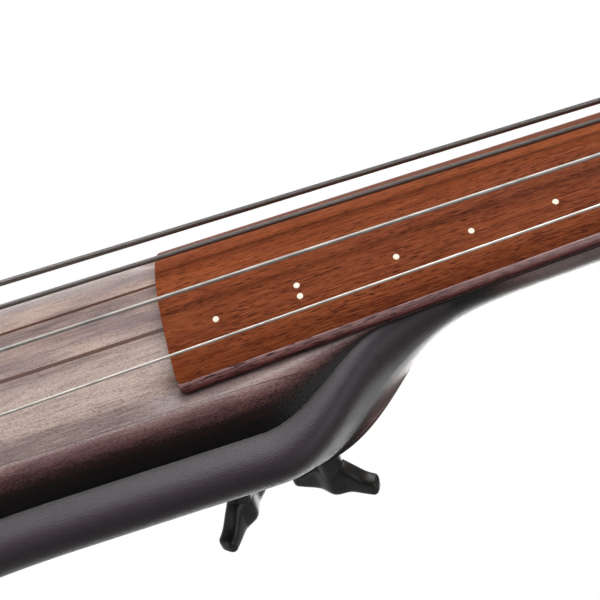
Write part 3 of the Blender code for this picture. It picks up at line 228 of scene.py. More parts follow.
class Nodes:
    """A node tree, with short ways to add the nodes that the finishes and the backdrop share."""

    def __init__(self, tree):
        self.tree = tree

    def node(self, kind, **settings):
        """A new node with its settings."""
        made = self.tree.nodes.new(kind)
        for key, value in settings.items():
            setattr(made, key, value)
        return made

    def feed(self, socket, value):
        """Links a socket, or sets it to a plain value."""
        if isinstance(value, bpy.types.NodeSocket):
            self.tree.links.new(value, socket)
        else:
            socket.default_value = value

    def ramp(self, value, *stops):
        """A colour ramp; each stop is (place, colour or grey)."""
        made = self.node("ShaderNodeValToRGB")
        self.feed(made.inputs["Fac"], value)
        ramp = made.color_ramp
        while len(ramp.elements) < len(stops):
            ramp.elements.new(0.5)
        for element, (at, shade) in zip(ramp.elements, stops):
            element.position = at
            element.color = (shade, shade, shade, 1) if isinstance(shade, (int, float)) else (*shade, 1)
        return made.outputs["Color"]

    def span(self, value, low, high, to_low=0.0, to_high=1.0):
        """value from low to high taken to to_low..to_high, held at its ends."""
        made = self.node("ShaderNodeMapRange")
        self.feed(made.inputs["Value"], value)
        for key, number in (("From Min", low), ("From Max", high), ("To Min", to_low), ("To Max", to_high)):
            made.inputs[key].default_value = number
        return made.outputs["Result"]

    def maths(self, operation, a, b=0.0):
        """One sum of a and b."""
        made = self.node("ShaderNodeMath", operation=operation)
        self.feed(made.inputs[0], a)
        self.feed(made.inputs[1], b)
        return made.outputs[0]

    def blend(self, share, a, b, way="MIX"):
        """Colour a turned into b by share."""
        made = self.node("ShaderNodeMix", data_type="RGBA", blend_type=way)
        self.feed(made.inputs["Factor"], share)
        colours = [s for s in made.inputs if s.type == "RGBA"]
        for socket, value in zip(colours, (a, b)):
            self.feed(socket, (*value, 1) if isinstance(value, tuple) else value)
        return next(s for s in made.outputs if s.type == "RGBA")


SLOT_OF = {}                   # the slot of each finish, by the material's name


class Finish(Nodes):
    """A material whose shader reads the nodes that it is given, and the slot it belongs to."""

    def __init__(self, name, slot=None, roughness=0.5, metallic=0.0):
        self.made = bpy.data.materials.new(name)
        self.made.use_nodes = True
        SLOT_OF[self.made.name] = slot
        super().__init__(self.made.node_tree)
        self.shader = self.tree.nodes["Principled BSDF"]
        self.set("Roughness", roughness)
        self.set("Metallic", metallic)
        self.coords = self.node("ShaderNodeTexCoord").outputs["Object"]

    def set(self, socket, value):
        """Gives one of the shader's own sockets a value or a link."""
        self.feed(self.shader.inputs[socket], value)

    def noise(self, scale, detail=3.0, roughness=0.55, stretch=(1, 1, 1), distortion=0.0):
        """Soft noise over the coordinates, each axis multiplied by its stretch first."""
        mapping = self.node("ShaderNodeMapping")
        self.feed(mapping.inputs["Vector"], self.coords)
        mapping.inputs["Scale"].default_value = stretch
        made = self.node("ShaderNodeTexNoise")
        self.feed(made.inputs["Vector"], mapping.outputs["Vector"])
        for key, number in (("Scale", scale), ("Detail", detail), ("Roughness", roughness),
                            ("Distortion", distortion)):
            made.inputs[key].default_value = number
        return made.outputs["Fac"]

    def attribute(self, name):
        """A number held on the piece's points."""
        return self.node("ShaderNodeAttribute", attribute_name=name).outputs["Fac"]

    def axis(self, letter, vector=None):
        """One part of a vector, or of the coordinates."""
        parts = self.node("ShaderNodeSeparateXYZ")
        self.feed(parts.inputs[0], vector or self.coords)
        return parts.outputs[letter]

    def bump(self, height, distance, strength=1.0):
        """Lifts the surface by the height, on top of the bumps that it has."""
        made = self.node("ShaderNodeBump")
        self.feed(made.inputs["Height"], height)
        made.inputs["Distance"].default_value = distance
        made.inputs["Strength"].default_value = strength
        last = self.shader.inputs["Normal"]
        if last.is_linked:
            self.feed(made.inputs["Normal"], last.links[0].from_socket)
        self.feed(last, made.outputs["Normal"])


SIDE_STAIN = (0.046, 0.034, 0.044)
GLUE_LINE = 0.00014


def stained_wood(slot, name, pale, dusk, fleck):
    """Satin stained timber: grain runs along Z, and the attribute burst darkens it to the edges; the near black at
    the foot of the slope, by the crease, is partly painted shade.

    pale and dusk are the two tones of its clouds, fleck the tone of its short dark marks.
    Where burst passes 1 the wood is the body's side, which has one dark stain all over.
    """
    look = Finish(name, slot)
    look.set("Specular IOR Level", 0.62)
    cloud = look.noise(40.0, 5.0, 0.60, (1.0, 1.0, 0.20), 0.8)
    stroke = look.noise(330.0, 4.0, 0.60, (1.0, 1.0, 0.09), 0.4)
    fibre = look.noise(1150.0, 3.0, 0.60, (1.0, 1.0, 0.07))
    speck = look.noise(2100.0, 2.0, 0.62, (1.0, 1.0, 0.40))
    tone = look.ramp(cloud, (0.38, dusk), (0.50, mix(np.array(dusk), np.array(pale), 0.55)), (0.60, pale))
    tone = look.blend(look.span(stroke, 0.46, 0.72, 0.0, 0.42), tone, fleck)
    tone = look.blend(look.span(fibre, 0.50, 0.74, 0.0, 0.56), tone, fleck)
    tone = look.blend(look.span(speck, 0.52, 0.72, 0.0, 0.60), tone, fleck)
    tone = look.blend(look.span(fibre, 0.26, 0.46, 0.22, 0.0), tone, tuple(min(1.3 * c, 1) for c in pale))
    uneven = look.maths("ADD", look.span(stroke, 0.3, 0.7, -0.04, 0.04),
                        look.span(speck, 0.3, 0.7, -0.11, 0.11))
    burst = look.maths("ADD", look.attribute("burst"), uneven)
    # Burst stain ramp: its near-black end at the foot of the slope is partly the real burst and partly painted
    # shade of the crease.
    stain = look.ramp(burst, (0.0, 1.0), (0.08, (0.86, 0.76, 0.80)), (0.24, (0.70, 0.54, 0.57)),
                      (0.44, (0.37, 0.23, 0.24)), (0.62, (0.075, 0.036, 0.038)), (0.82, (0.010, 0.004, 0.005)))
    shade = look.blend(1.0, tone, stain, "MULTIPLY")
    joint = look.maths("SUBTRACT", look.maths("ABSOLUTE", look.axis("X")), RIDGE_HALF)
    in_joint = look.maths("LESS_THAN", look.maths("ABSOLUTE", joint), GLUE_LINE)
    shade = look.blend(look.maths("MULTIPLY", in_joint, 0.72), shade, (0.030, 0.016, 0.015))
    look.set("Base Color", look.blend(look.span(look.attribute("burst"), 1.02, 1.10), shade, SIDE_STAIN))
    on_side = look.span(look.attribute("burst"), 1.02, 1.10, 0.0, 0.13)
    look.set("Roughness", look.maths("ADD", look.span(speck, 0.3, 0.7, 0.29, 0.38), on_side))
    look.bump(fibre, 0.00009, 0.8)
    look.bump(speck, 0.00017, 0.9)
    return look.made


MAPLE = stained_wood("maple", "stained_maple", (0.475, 0.355, 0.300), (0.245, 0.182, 0.178),
                     (0.128, 0.083, 0.075))
WALNUT = stained_wood("walnut", "walnut_stripe", (0.105, 0.030, 0.013), (0.078, 0.023, 0.010),
                      (0.043, 0.014, 0.008))
WING_WOOD = stained_wood("stained_wing", "stained_wing_wood", (0.42, 0.31, 0.275), (0.27, 0.20, 0.19),
                         (0.11, 0.070, 0.064))


def board_wood():
    """Oiled red-brown board: faint bands, fine fibres and short open pores along Z."""
    look = Finish("rosewood_board", "fingerboard")
    bands = look.noise(95.0, 4.0, 0.60, (1.0, 1.0, 0.05), 0.5)
    figure = look.noise(900.0, 4.0, 0.65, (1.0, 1.0, 0.055), 0.3)
    fibre = look.noise(2300.0, 2.0, 0.6, (1.0, 1.0, 0.05))
    pore_noise = look.noise(2300.0, 1.0, 0.5, (1.0, 1.0, 0.10))
    where = look.noise(150.0, 3.0, 0.6, (1.0, 1.0, 0.15))
    tone = look.ramp(bands, (0.32, (0.140, 0.028, 0.009)), (0.50, (0.190, 0.041, 0.012)),
                     (0.68, (0.250, 0.061, 0.018)))
    tone = look.blend(look.span(figure, 0.44, 0.70, 0.0, 0.75), tone, (0.080, 0.013, 0.005))
    tone = look.blend(look.span(fibre, 0.44, 0.72, 0.0, 0.55), tone, (0.36, 0.110, 0.040))
    pore = look.maths("GREATER_THAN", pore_noise, look.span(where, 0.35, 0.7, 0.66, 0.58))
    tone = look.blend(look.maths("MULTIPLY", pore, 0.75), tone, (0.040, 0.008, 0.004))
    look.set("Base Color", tone)
    look.set("Roughness", look.span(pore_noise, 0.5, 0.7, 0.58, 0.72))
    look.bump(look.maths("MULTIPLY", pore, -1.0), 0.00005, 0.6)
    look.bump(fibre, 0.00002, 0.4)
    look.set("Specular IOR Level", 0.06)
    return look.made


def board_side_wood():
    """The board's unoiled edge: dusty purple with long dark pores, darker at the glue line.

    Towards the nut it is painted paler and redder, as painted light for the stronger light that falls on the edge
    there.
    """
    look = Finish("raw_board_edge", roughness=0.75)
    fibre = look.noise(520.0, 4.0, 0.65, (1.0, 1.0, 0.06), 0.4)
    pore_noise = look.noise(1300.0, 2.0, 0.60, (1.0, 1.0, 0.12))
    tone = look.ramp(fibre, (0.32, (0.42, 0.190, 0.190)), (0.52, (0.68, 0.390, 0.378)),
                     (0.70, (0.82, 0.540, 0.520)))
    pore = look.span(pore_noise, 0.53, 0.58)
    tone = look.blend(look.maths("MULTIPLY", pore, 0.85), tone, (0.045, 0.014, 0.014))
    # The side darkens to near black at its foot, along the glue line.
    darker_to_foot = look.ramp(look.attribute("glue"), (0.0, 1.0), (0.35, (0.90, 0.82, 0.82)),
                      (0.60, (0.58, 0.38, 0.38)), (0.85, (0.26, 0.13, 0.13)), (1.0, (0.02, 0.01, 0.01)))
    # Painted light: paler towards the nut, where more light falls on the edge.
    tone = look.blend(look.span(look.axis("Z"), 1.00, 1.22, 0.0, 0.80), tone, (1.0, 0.70, 0.68))
    look.set("Base Color", look.blend(1.0, tone, darker_to_foot, "MULTIPLY"))
    look.bump(look.maths("MULTIPLY", pore, -1.0), 0.0001, 0.8)
    look.set("Specular IOR Level", 0.2)
    return look.made


ROSEWOOD = board_wood()
RAW_EDGE = board_side_wood()


WIND_PITCH = 0.00042


def mottled(slot, name, colour, roughness, metallic=0.0, grain=220.0, spread=0.06, bump=0.00002, coat=0.0):
    """A plain finish whose colour, gloss and surface vary a little with a fine noise."""
    look = Finish(name, slot, roughness, metallic)
    fine = look.noise(grain, 4.0, 0.6)
    broad = look.noise(grain / 14, 2.0, 0.5)
    low = tuple(c * (1 - 2.2 * spread) for c in colour)
    high = tuple(min(c * (1 + 2.2 * spread), 1.0) for c in colour)
    look.set("Base Color", look.ramp(broad, (0.35, low), (0.65, high)))
    look.set("Roughness", look.span(fine, 0.3, 0.7, roughness * (1 - spread), roughness * (1 + 2 * spread)))
    look.bump(fine, bump, 0.5)
    look.set("Coat Weight", coat)
    return look.made


def wound_wire(name, colour):
    """Flat winding: the piece's UV map holds the run along the string, in turns of the wire."""
    look = Finish(name, "wound_string", 0.34, 1.0)
    run = look.axis("X", look.node("ShaderNodeUVMap", uv_map="run").outputs["UV"])
    wave = look.maths("SINE", look.maths("MULTIPLY", run, TURN))
    dirt = look.noise(180.0, 3.0, 0.6, (1.0, 1.0, 0.3))
    # Painted shade: the colour darkens where the wave dips, in the grooves between the turns of the wire.
    groove = look.span(wave, -1.0, -0.2, 0.45, 1.0)
    tone = look.blend(groove, tuple(c * 0.28 for c in colour), colour)
    tone = look.blend(look.span(dirt, 0.35, 0.7, 0.0, 0.35), tone, tuple(c * 0.6 for c in colour))
    look.set("Base Color", tone)
    look.bump(wave, 0.25 * WIND_PITCH, 0.75)
    return look.made


def ebony_wood():
    """Near black, with fine brown fibres along X."""
    look = Finish("ebony", "ebony", 0.42)
    fibre = look.span(look.noise(700.0, 3.0, 0.6, (0.12, 1.0, 1.0)), 0.45, 0.7)
    look.set("Base Color", look.blend(fibre, (0.012, 0.010, 0.010), (0.040, 0.028, 0.022)))
    look.bump(look.noise(2200.0, 2.0, 0.6, (0.1, 1, 1)), 0.00003, 0.4)
    return look.made


WOUND_WIRE = wound_wire("flat_wound_wire", (0.26, 0.24, 0.23))
DULL_WIRE = mottled("steel_string", "dull_string_steel", (0.44, 0.42, 0.39), 0.44, 0.55, 1200.0, 0.10)
BRIGHT_WIRE = mottled("steel_string", "bright_string_steel", (0.66, 0.625, 0.58), 0.42, 0.5, 1200.0, 0.10)
STRING_BRASS = mottled("brass", "turned_brass", (0.70, 0.49, 0.21), 0.25, 1.0, 400.0, 0.07)
PEARL = mottled("bone", "pearl_dot", (0.76, 0.68, 0.54), 0.30, grain=900.0, spread=0.03, coat=0.3)
BONE = mottled("bone", "bone", (0.83, 0.77, 0.64), 0.34, grain=700.0, spread=0.05, coat=0.2)
EBONY = ebony_wood()
BRIDGE_WOOD = mottled("bridge_wood", "bridge_rosewood", (0.10, 0.032, 0.017), 0.40, grain=420.0, spread=0.16)
BARE_STEEL = mottled("bare_steel", "bare_steel", (0.62, 0.61, 0.60), 0.3, 1.0, 500.0, 0.08)
TUBE_STEEL = mottled("bare_steel", "satin_tube_steel", (0.66, 0.66, 0.67), 0.22, 1.0, 300.0, 0.05, 0.00001)
CHROME = mottled("chrome", "polished_chrome", (0.80, 0.80, 0.82), 0.09, 1.0, 300.0, 0.03, 0.000005)
BRASS = mottled("brass", "machined_brass", (0.72, 0.50, 0.20), 0.26, 1.0, 600.0, 0.06)
BOLT_PLASTIC = mottled("black_plastic", "black_bolt_plastic", (0.0300, 0.0280, 0.0260), 0.36,
                       grain=1400.0, spread=0.10, bump=0.00004)
BLACK_PLASTIC = mottled("black_plastic", "satin_black_plastic", (0.014, 0.014, 0.015), 0.42,
                        grain=1800.0, spread=0.08)
BLACK_METAL = mottled("black_metal", "black_powder_coat", (0.017, 0.017, 0.018), 0.46,
                      grain=2600.0, spread=0.10, bump=0.00005)
RUBBER = mottled("rubber", "foot_rubber", (0.020, 0.019, 0.018), 0.82, grain=900.0, spread=0.08, bump=0.00006)
CIRCUIT_GREEN = mottled("circuit_green", "circuit_board_green", (0.012, 0.105, 0.045), 0.40,
                        grain=500.0, spread=0.10, coat=0.4)
CELL_WRAP = mottled("battery_case", "battery_case", (0.035, 0.036, 0.040), 0.35, 0.2, grain=800.0)
MARK_PAINT = mottled("black_plastic", "knob_mark_paint", (0.80, 0.80, 0.76), 0.50, grain=1500.0, spread=0.03)


# Meshes

WELD = 0.0000005


def new_object(name, data):
    """An object in the scene, at the origin."""
    made = bpy.data.objects.new(name, data)
    bpy.context.scene.collection.objects.link(made)
    return made


def face_outwards(mesh, weld=0.0):
    """Merges points that lie closer than weld, and turns all faces outwards."""
    bm = bmesh.new()
    bm.from_mesh(mesh)
    if weld:
        bmesh.ops.remove_doubles(bm, verts=bm.verts, dist=weld)
    bmesh.ops.recalc_face_normals(bm, faces=bm.faces)
    bm.to_mesh(mesh)
    bm.free()


def new_mesh(name, points, faces, looks, smooth_angle=35.0, weld=0.0):
    """An object from points (..., 3) and lists of corners, sharp past the angle in degrees."""
    mesh = bpy.data.meshes.new(name)
    mesh.from_pydata(points.reshape(-1, 3).tolist(), [], faces)
    if weld:
        face_outwards(mesh, weld)
    mesh.validate()
    mesh.shade_smooth()
    mesh.set_sharp_from_angle(angle=math.radians(smooth_angle))
    for look in looks if isinstance(looks, tuple) else (looks,):
        mesh.materials.append(look)
    return new_object(name, mesh)


def hold(mesh, name, values):
    """Keeps one number for each point on the mesh."""
    mesh.attributes.new(name, "FLOAT", "POINT").data.foreach_set("value", values.ravel())


def grid_faces(rows, columns, wrap=False):
    """Quads of a rows x columns grid whose columns may close on themselves."""
    k = np.arange(columns if wrap else columns - 1)
    r = np.arange(rows - 1)[:, None]
    here = r * columns + k
    beside = r * columns + (k + 1) % columns
    return np.stack((here, beside, beside + columns, here + columns), axis=-1).reshape(-1, 4).tolist()


def ring_faces(rows, columns):
    """A closed tube of rings with a flat cap on either end."""
    caps = [list(range(columns))[::-1], list(range((rows - 1) * columns, rows * columns))]
    return grid_faces(rows, columns, wrap=True) + caps


def moved(points, matrix):
    """Points (..., 3) carried by a 4 x 4 matrix."""
    m = np.array(matrix)
    return points @ m[:3, :3].T + m[:3, 3]


def finish_piece(made, body, slot, *nodes):
    """The piece rides on its body and stands for its CAD nodes, which are hidden; slot is not used."""
    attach(made, body)
    if nodes:
        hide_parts(*nodes)
    return made


def fit(made, node=None, body="instrument"):
    """Finishes a fitting on its body; node is the CAD node it stands for, if any."""
    return finish_piece(made, body, SLOT_OF[made.data.materials[0].name], *([node] if node else []))


def eased(corners):
    """Points of a profile; a third number c in a corner cuts it off c before and c after it."""
    at = [np.array(corner[:2], float) for corner in corners]
    points = []
    for k, corner in enumerate(corners):
        if len(corner) == 2:
            points.append(at[k])
            continue
        for beside in (at[k - 1], at[(k + 1) % len(at)]):
            points.append(at[k] + (beside - at[k]) / np.linalg.norm(beside - at[k]) * corner[2])
    return np.array(points)


def lathe(name, corners, matrix, look, steps=64, ring=False, ripple=0.0, ridges=0):
    """A profile of (radius, height) turned about the matrix's Z axis in even steps.

    With ring, the profile closes on itself. With ridges, each radius r becomes
    r - ripple (1 + cos(ridges a)) / 2.
    """
    profile = eased(corners)
    if ring:
        profile = np.vstack((profile, profile[:1]))
    a = once_round(steps)
    bite = np.broadcast_to(ripple, len(profile))[:, None] * (1 + np.cos(ridges * a)) / 2
    radius = profile[:, :1] - bite * np.sign(ridges)
    rings = np.stack((radius * np.cos(a), radius * np.sin(a), profile[:, 1:] * np.ones(steps)), axis=-1)
    return new_mesh(name, moved(rings, matrix), grid_faces(len(profile), steps, wrap=True), look, weld=WELD)


def soften(made, width, segments=3):
    """Rounds every edge of more than 30 degrees by this width."""
    if "sharp_edge" in made.data.attributes:
        made.data.attributes.remove(made.data.attributes["sharp_edge"])
    rounding = made.modifiers.new("rounded_edges", "BEVEL")
    rounding.width = width
    rounding.segments = segments
    rounding.limit_method = "ANGLE"
    rounding.angle_limit = math.radians(30)
    rounding.harden_normals = True
    return made


def prism(name, outline, low, high, matrix, look, soft=0.0005):
    """An outline in X and Y carried from low to high along Z, with its edges rounded."""
    outline = np.asarray(outline, float)
    rings = np.array([np.column_stack((outline, np.full(len(outline), z))) for z in (low, high)])
    return soften(new_mesh(name, moved(rings, matrix), ring_faces(2, len(outline)), look, weld=WELD), soft)


def rounded_box(half_x, half_y, radius, shift=(0, 0)):
    """Outline of a box whose corners are quarter circles."""
    a = np.linspace(0, math.pi / 2, 9)
    corners = []
    for turn, (x, y) in enumerate(((1, 1), (-1, 1), (-1, -1), (1, -1))):
        b = a + turn * math.pi / 2
        corners.append(radius * circle(b) + (x * (half_x - radius) + shift[0], y * (half_y - radius) + shift[1]))
    return np.vstack(corners)


def arched_block(name, ends, v, top, low, soft, look):
    """A block across the strings between the curves top(v) and low(v).

    Towards either end its top sinks and its sides draw in along a quarter circle.
    """
    t = np.linspace(0, math.pi / 2, 7)
    run, drop = soft * (1 - np.cos(t)), soft * (1 - np.sin(t))
    u = np.concatenate((ends[0] + run, ends[1] - run[::-1]))[:, None]
    drop = np.concatenate((drop, drop[::-1]))[:, None]
    narrow = 1 - drop / v.max()
    section_v = np.hstack((v * narrow, v[::-1] * narrow))
    section_w = np.hstack((top - drop, low[::-1] * np.ones_like(drop)))
    return new_mesh(name, place(u, section_v, section_w), ring_faces(*section_v.shape), look, 40, weld=WELD)


def notched(top, v, string_at):
    """The curve top(v) with a round notch w_i - sqrt(r_i^2 - (v - v_i)^2) under each string."""
    top = top.copy()
    for i, radius in enumerate(STRING_RADII):
        string_v, string_w = string_at(i)
        r = radius + GAP
        inside = np.abs(v - string_v) < r
        top[inside] = np.minimum(top[inside], string_w - np.sqrt(r * r - (v[inside] - string_v) ** 2))
    return top


SCREW_SIDES = 64


def screws(name, matrices, radius, look=CHROME, body="instrument"):
    """Low domed heads with a cross recess, one for every matrix.

    Height at (x, y) is H (1 - (r/R)^2) less the recess, which is the product of two soft
    steps: one in the smaller and one in the larger of |x| and |y|.
    """
    a = once_round(SCREW_SIDES)
    r = np.concatenate((np.linspace(0.02, 0.96, 22), (1.0, 1.0)))[::-1, None]
    x, y = r * np.cos(a), r * np.sin(a)
    small, large = np.minimum(abs(x), abs(y)), np.maximum(abs(x), abs(y))
    height = 0.40 * (1 - r ** 2) + 0.10 - 0.34 * smooth((0.17 - small) / 0.08) * smooth((0.66 - large) / 0.08)
    height[0] = -0.15
    points = np.stack((x, y, height), axis=-1) * radius
    heads, faces = [], []
    for k, matrix in enumerate(matrices):
        faces += [[n + k * len(r) * SCREW_SIDES for n in face] for face in ring_faces(len(r), SCREW_SIDES)]
        heads.append(moved(points, matrix))
    made = new_mesh(name, np.array(heads), faces, look, 50, weld=WELD)
    return finish_piece(made, body, "chrome")


def copied(name, node, look, soft):
    """The CAD piece's own form, merged, its flat faces joined and its edges rounded."""
    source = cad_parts[node]
    bm = bmesh.new()
    bm.from_mesh(source.data)
    bmesh.ops.transform(bm, matrix=source.matrix_world, verts=bm.verts)
    bmesh.ops.remove_doubles(bm, verts=bm.verts, dist=0.000005)
    bmesh.ops.dissolve_limit(bm, angle_limit=math.radians(1), verts=bm.verts, edges=bm.edges)
    bmesh.ops.recalc_face_normals(bm, faces=bm.faces)
    mesh = bpy.data.meshes.new(name)
    bm.to_mesh(mesh)
    bm.free()
    mesh.materials.clear()
    mesh.materials.append(look)
    mesh.shade_smooth()
    return soften(new_object(name, mesh), soft, 2)


# Wood

TOP_POINTS = 25                # points across half the top, then down the slope, the side and the back
SLOPE_POINTS = 12
SIDE_POINTS = 40
BACK_POINTS = 5
SIDE_BURST = 1.12
HEAD_CURVE = 2.6
END_CURVE = 2.5
NECK_NICK = 0.0006             # the wood's edge stands this much inside and under the board's
BOUT_START = 0.10              # below this the body widens, over BOUT_RUN
BOUT_RUN = 0.20
EASE_RUN = 0.014               # before the board, the arch's outer part turns into the glue plane
EASE_START = 0.034
EASE_WIDTH = 0.009
PALE_BY_CREASE = 0.264         # where the side's dark stain begins to end
PALE_BY_BACK = 0.196
PALE_RUN = 0.05
HEAD_DARK_RUN = 0.02


def belly(u):
    """Share of the full body that the side and back have reached at u."""
    return smoother((HEEL_END - u) / (HEEL_END - HEEL_START))


def wood_front(u):
    """The neck's glue plane and, past the nut, the head's front, which leans back evenly."""
    past_nut = np.maximum(u - NUT_END, 0)
    return board_base(np.minimum(u, SCALE_LENGTH)) - past_nut * math.tan(HEAD_TILT) - GAP


def neck_half(u):
    """Half the neck's width: the board's, then the head's, closed by (1 - t^n)^(1/n) at its tip."""
    past_nut = np.maximum(u - NUT_END, 0)
    half = mix(board_half(np.minimum(u, SCALE_LENGTH)), HEAD_HALF, smooth(past_nut / HEAD_SWELL))
    tip = np.clip((past_nut - (HEAD_LENGTH - HEAD_TIP)) / (HEAD_TIP * 1.03), 0, 1)
    return half * (1 - tip ** HEAD_CURVE) ** (1 / HEAD_CURVE)


def cubic(t, handles):
    """The cubic curve with these four handles, at shares t of its run."""
    a, b, c, d = handles
    return (1 - t) ** 3 * a + 3 * t * (1 - t) ** 2 * b + 3 * t * t * (1 - t) * c + t ** 3 * d


def stain_burst(u, s, t):
    """How dark the stain is, with the painted shade by the crease: 0 on top, s down the slope, past 1 on the side
    and the back.

    The dark side stain ends where the heel turns into the neck, and comes back on the head;
    it also closes round the body's end.
    """
    down_the_side = np.concatenate((t, np.ones(BACK_POINTS)))
    pale_from = mix(PALE_BY_CREASE, PALE_BY_BACK, smooth((down_the_side - 0.30) / 0.55))
    sides = SIDE_BURST * (1 - smooth((u - pale_from) / PALE_RUN))
    sides[:, 0] = np.minimum(sides[:, 0], 1.0)
    burst = np.hstack((np.zeros((len(u), TOP_POINTS)), s * np.ones_like(u), sides))
    all_dark = np.maximum(smooth((u - SCALE_LENGTH) / HEAD_DARK_RUN),
                          smooth((BODY_END + BODY_ROUND - u) / BODY_ROUND))
    return np.maximum(burst, SIDE_BURST * all_dark)


def wood_half(u, under_board):
    """Treble half of the wood's outline at each u, from front to back, and its burst.

    The arched top runs to the ridge, a slope falls to the crease, and the side and
    back follow one cubic curve. Each of these is blended by u into the neck and head.
    """
    u = np.asarray(u, float)[:, None]
    body = belly(u)
    head = smooth((u - SCALE_LENGTH) / HEAD_BLEND)
    on_neck = smooth((u - BOARD_END) / (FLARE_END - BOARD_END))
    flare = smooth((u - FLARE_START) / (FLARE_END - FLARE_START))
    bout = LOWER_BOUT * smooth((BOUT_START - u) / BOUT_RUN)
    half, front, open_top = neck_half(u), wood_front(u), ~under_board[:, None]

    ridge_v = mix(RIDGE_HALF, half - NECK_NICK, on_neck)
    ridge_w = mix(body_top(BOARD_END) + arc(ARCH_RADIUS, RIDGE_HALF), front, on_neck)
    top_v = np.linspace(0, 1, TOP_POINTS) * ridge_v
    arched = body_top(u) + arc(ARCH_RADIUS, top_v)
    flat = np.broadcast_to(front, arched.shape).copy()
    flat[:, -1:] = ridge_w
    ease_in = smooth((u - BOARD_END + EASE_RUN) / EASE_RUN) * smooth((top_v - EASE_START) / EASE_WIDTH)
    top_w = np.where(open_top, mix(arched, flat, ease_in), flat)

    crease_v = mix(CREASE_HALF, half, flare) + np.where(open_top, bout, 0)
    crease_w = (mix(-CREASE_DEPTH, front - NECK_NICK, flare)
                + np.where(open_top, (body_top(u) - body_top(BOARD_END)) * 0.5, 0))
    s = np.linspace(0, 1, SLOPE_POINTS + 2)[1:-1]
    slope_v = mix(top_v[:, -1:], crease_v, s)
    slope_w = mix(top_w[:, -1:], crease_w, s) + SLOPE_RISE * (1 - flare) * 4 * s * (1 - s)

    depth = mix(NECK_DEPTH_HEEL, NECK_DEPTH_NUT, np.clip(along_board(u), 0, 1))
    head_back = front - HEAD_THICK / math.cos(HEAD_TILT)
    back = mix(mix(front - depth, head_back, head), -BODY_BACK, body)
    t = np.linspace(0, 1, SIDE_POINTS)
    side_v = cubic(t, (crease_v, mix(half, crease_v + SIDE_OUT * body, body),
                       mix(mix(0.62, 1.0, head) * half, crease_v - SIDE_IN_LOW, body),
                       mix(mix(0.12, 0.86, head) * half, BACK_HALF + bout, body)))
    side_w = cubic(t, (crease_w,
                       mix(front - mix(0.6 * depth, HEAD_THICK * 0.9, head), crease_w - CREASE_LIP, body),
                       back + SIDE_LIFT * body, back))
    back_v = side_v[:, -1:] * np.linspace(1, 0, BACK_POINTS + 1)[1:]
    v = np.hstack((top_v, slope_v, side_v, back_v))
    w = np.hstack((top_w, slope_w, side_w, np.broadcast_to(back, back_v.shape)))
    crease = np.zeros_like(v)
    crease[:, TOP_POINTS + SLOPE_POINTS] = 1.0

    close = np.clip((BODY_END + BODY_ROUND - u) / (BODY_ROUND * 1.012), 0, 1)
    middle = (body_top(u) - BODY_BACK) / 2
    v = v * (1 - close ** END_CURVE) ** (1 / END_CURVE)
    w = middle + (w - middle) * mix(0.25, 1, (1 - close ** 4) ** (1 / 4))
    return v, w, stain_burst(u, s, t), crease


def wood_stations():
    """Where the wood's outline is worked out, closer together where it changes."""
    ends = BODY_END + BODY_ROUND * (1 - np.cos(np.linspace(0, math.pi / 2, 30)))
    body = np.linspace(BODY_END + BODY_ROUND, BOARD_END - GAP, 62)[1:]
    heel = np.linspace(BOARD_END - GAP + 0.00001, HEEL_END, 60)
    neck = np.linspace(HEEL_END, SCALE_LENGTH, 24)[1:]
    head = NUT_END + np.linspace(0, HEAD_LENGTH - HEAD_TIP, 34)
    tip = NUT_END + HEAD_LENGTH - HEAD_TIP * (1 - np.sin(np.linspace(0, math.pi / 2, 32)[1:]))
    u = np.concatenate((ends, body, heel, neck, head, tip))
    return u, u > BOARD_END - GAP


def wood_blank():
    """The whole instrument's wood as one closed skin, with the burst held on its points."""
    u, under_board = wood_stations()
    v, w, burst, crease = wood_half(u, under_board)
    v = np.hstack((v, -v[:, -2:0:-1]))
    w, burst, crease = (np.hstack((a, a[:, -2:0:-1])) for a in (w, burst, crease))
    mesh = bpy.data.meshes.new("wood_blank")
    mesh.from_pydata(place(u[:, None], v, w).reshape(-1, 3).tolist(), [], ring_faces(*v.shape))
    hold(mesh, "burst", burst)
    hold(mesh, "crease_line", crease)
    return mesh


def shade_wood(mesh):
    """Smooth shading, sharp at steep edges and all along the crease."""
    mesh.shade_smooth()
    mesh.set_sharp_from_angle(angle=math.radians(32))
    line = np.empty(len(mesh.vertices))
    mesh.attributes["crease_line"].data.foreach_get("value", line)
    ends = np.empty(2 * len(mesh.edges), int)
    mesh.edges.foreach_get("vertices", ends)
    on_line = (line[ends.reshape(-1, 2)] > 0.99).all(axis=1)
    sharp = np.zeros(len(mesh.edges), bool)
    marks = mesh.attributes["sharp_edge"]
    marks.data.foreach_get("value", sharp)
    marks.data.foreach_set("value", sharp | on_line)


def sliced(blank, low, high):
    """The part of a closed mesh between two planes of constant X, with its cuts closed."""
    bm = bmesh.new()
    bm.from_mesh(blank)
    bmesh.ops.recalc_face_normals(bm, faces=bm.faces)
    for at, outward in ((low, -1), (high, 1)):
        if at is None:
            continue
        cut = bmesh.ops.bisect_plane(bm, geom=bm.verts[:] + bm.edges[:] + bm.faces[:], dist=0.000001,
                                     plane_co=(at, 0, 0), plane_no=(outward, 0, 0), clear_outer=True)
        rim = [e for e in cut["geom_cut"] if isinstance(e, bmesh.types.BMEdge)]
        bmesh.ops.holes_fill(bm, edges=rim)
    bmesh.ops.recalc_face_normals(bm, faces=bm.faces)
    mesh = bpy.data.meshes.new("length")
    bm.to_mesh(mesh)
    bm.free()
    return mesh


def cutter(points, faces):
    """A closed shape that is taken away from a piece."""
    made = new_mesh("cutter", points, faces, ())
    face_outwards(made.data)
    return made


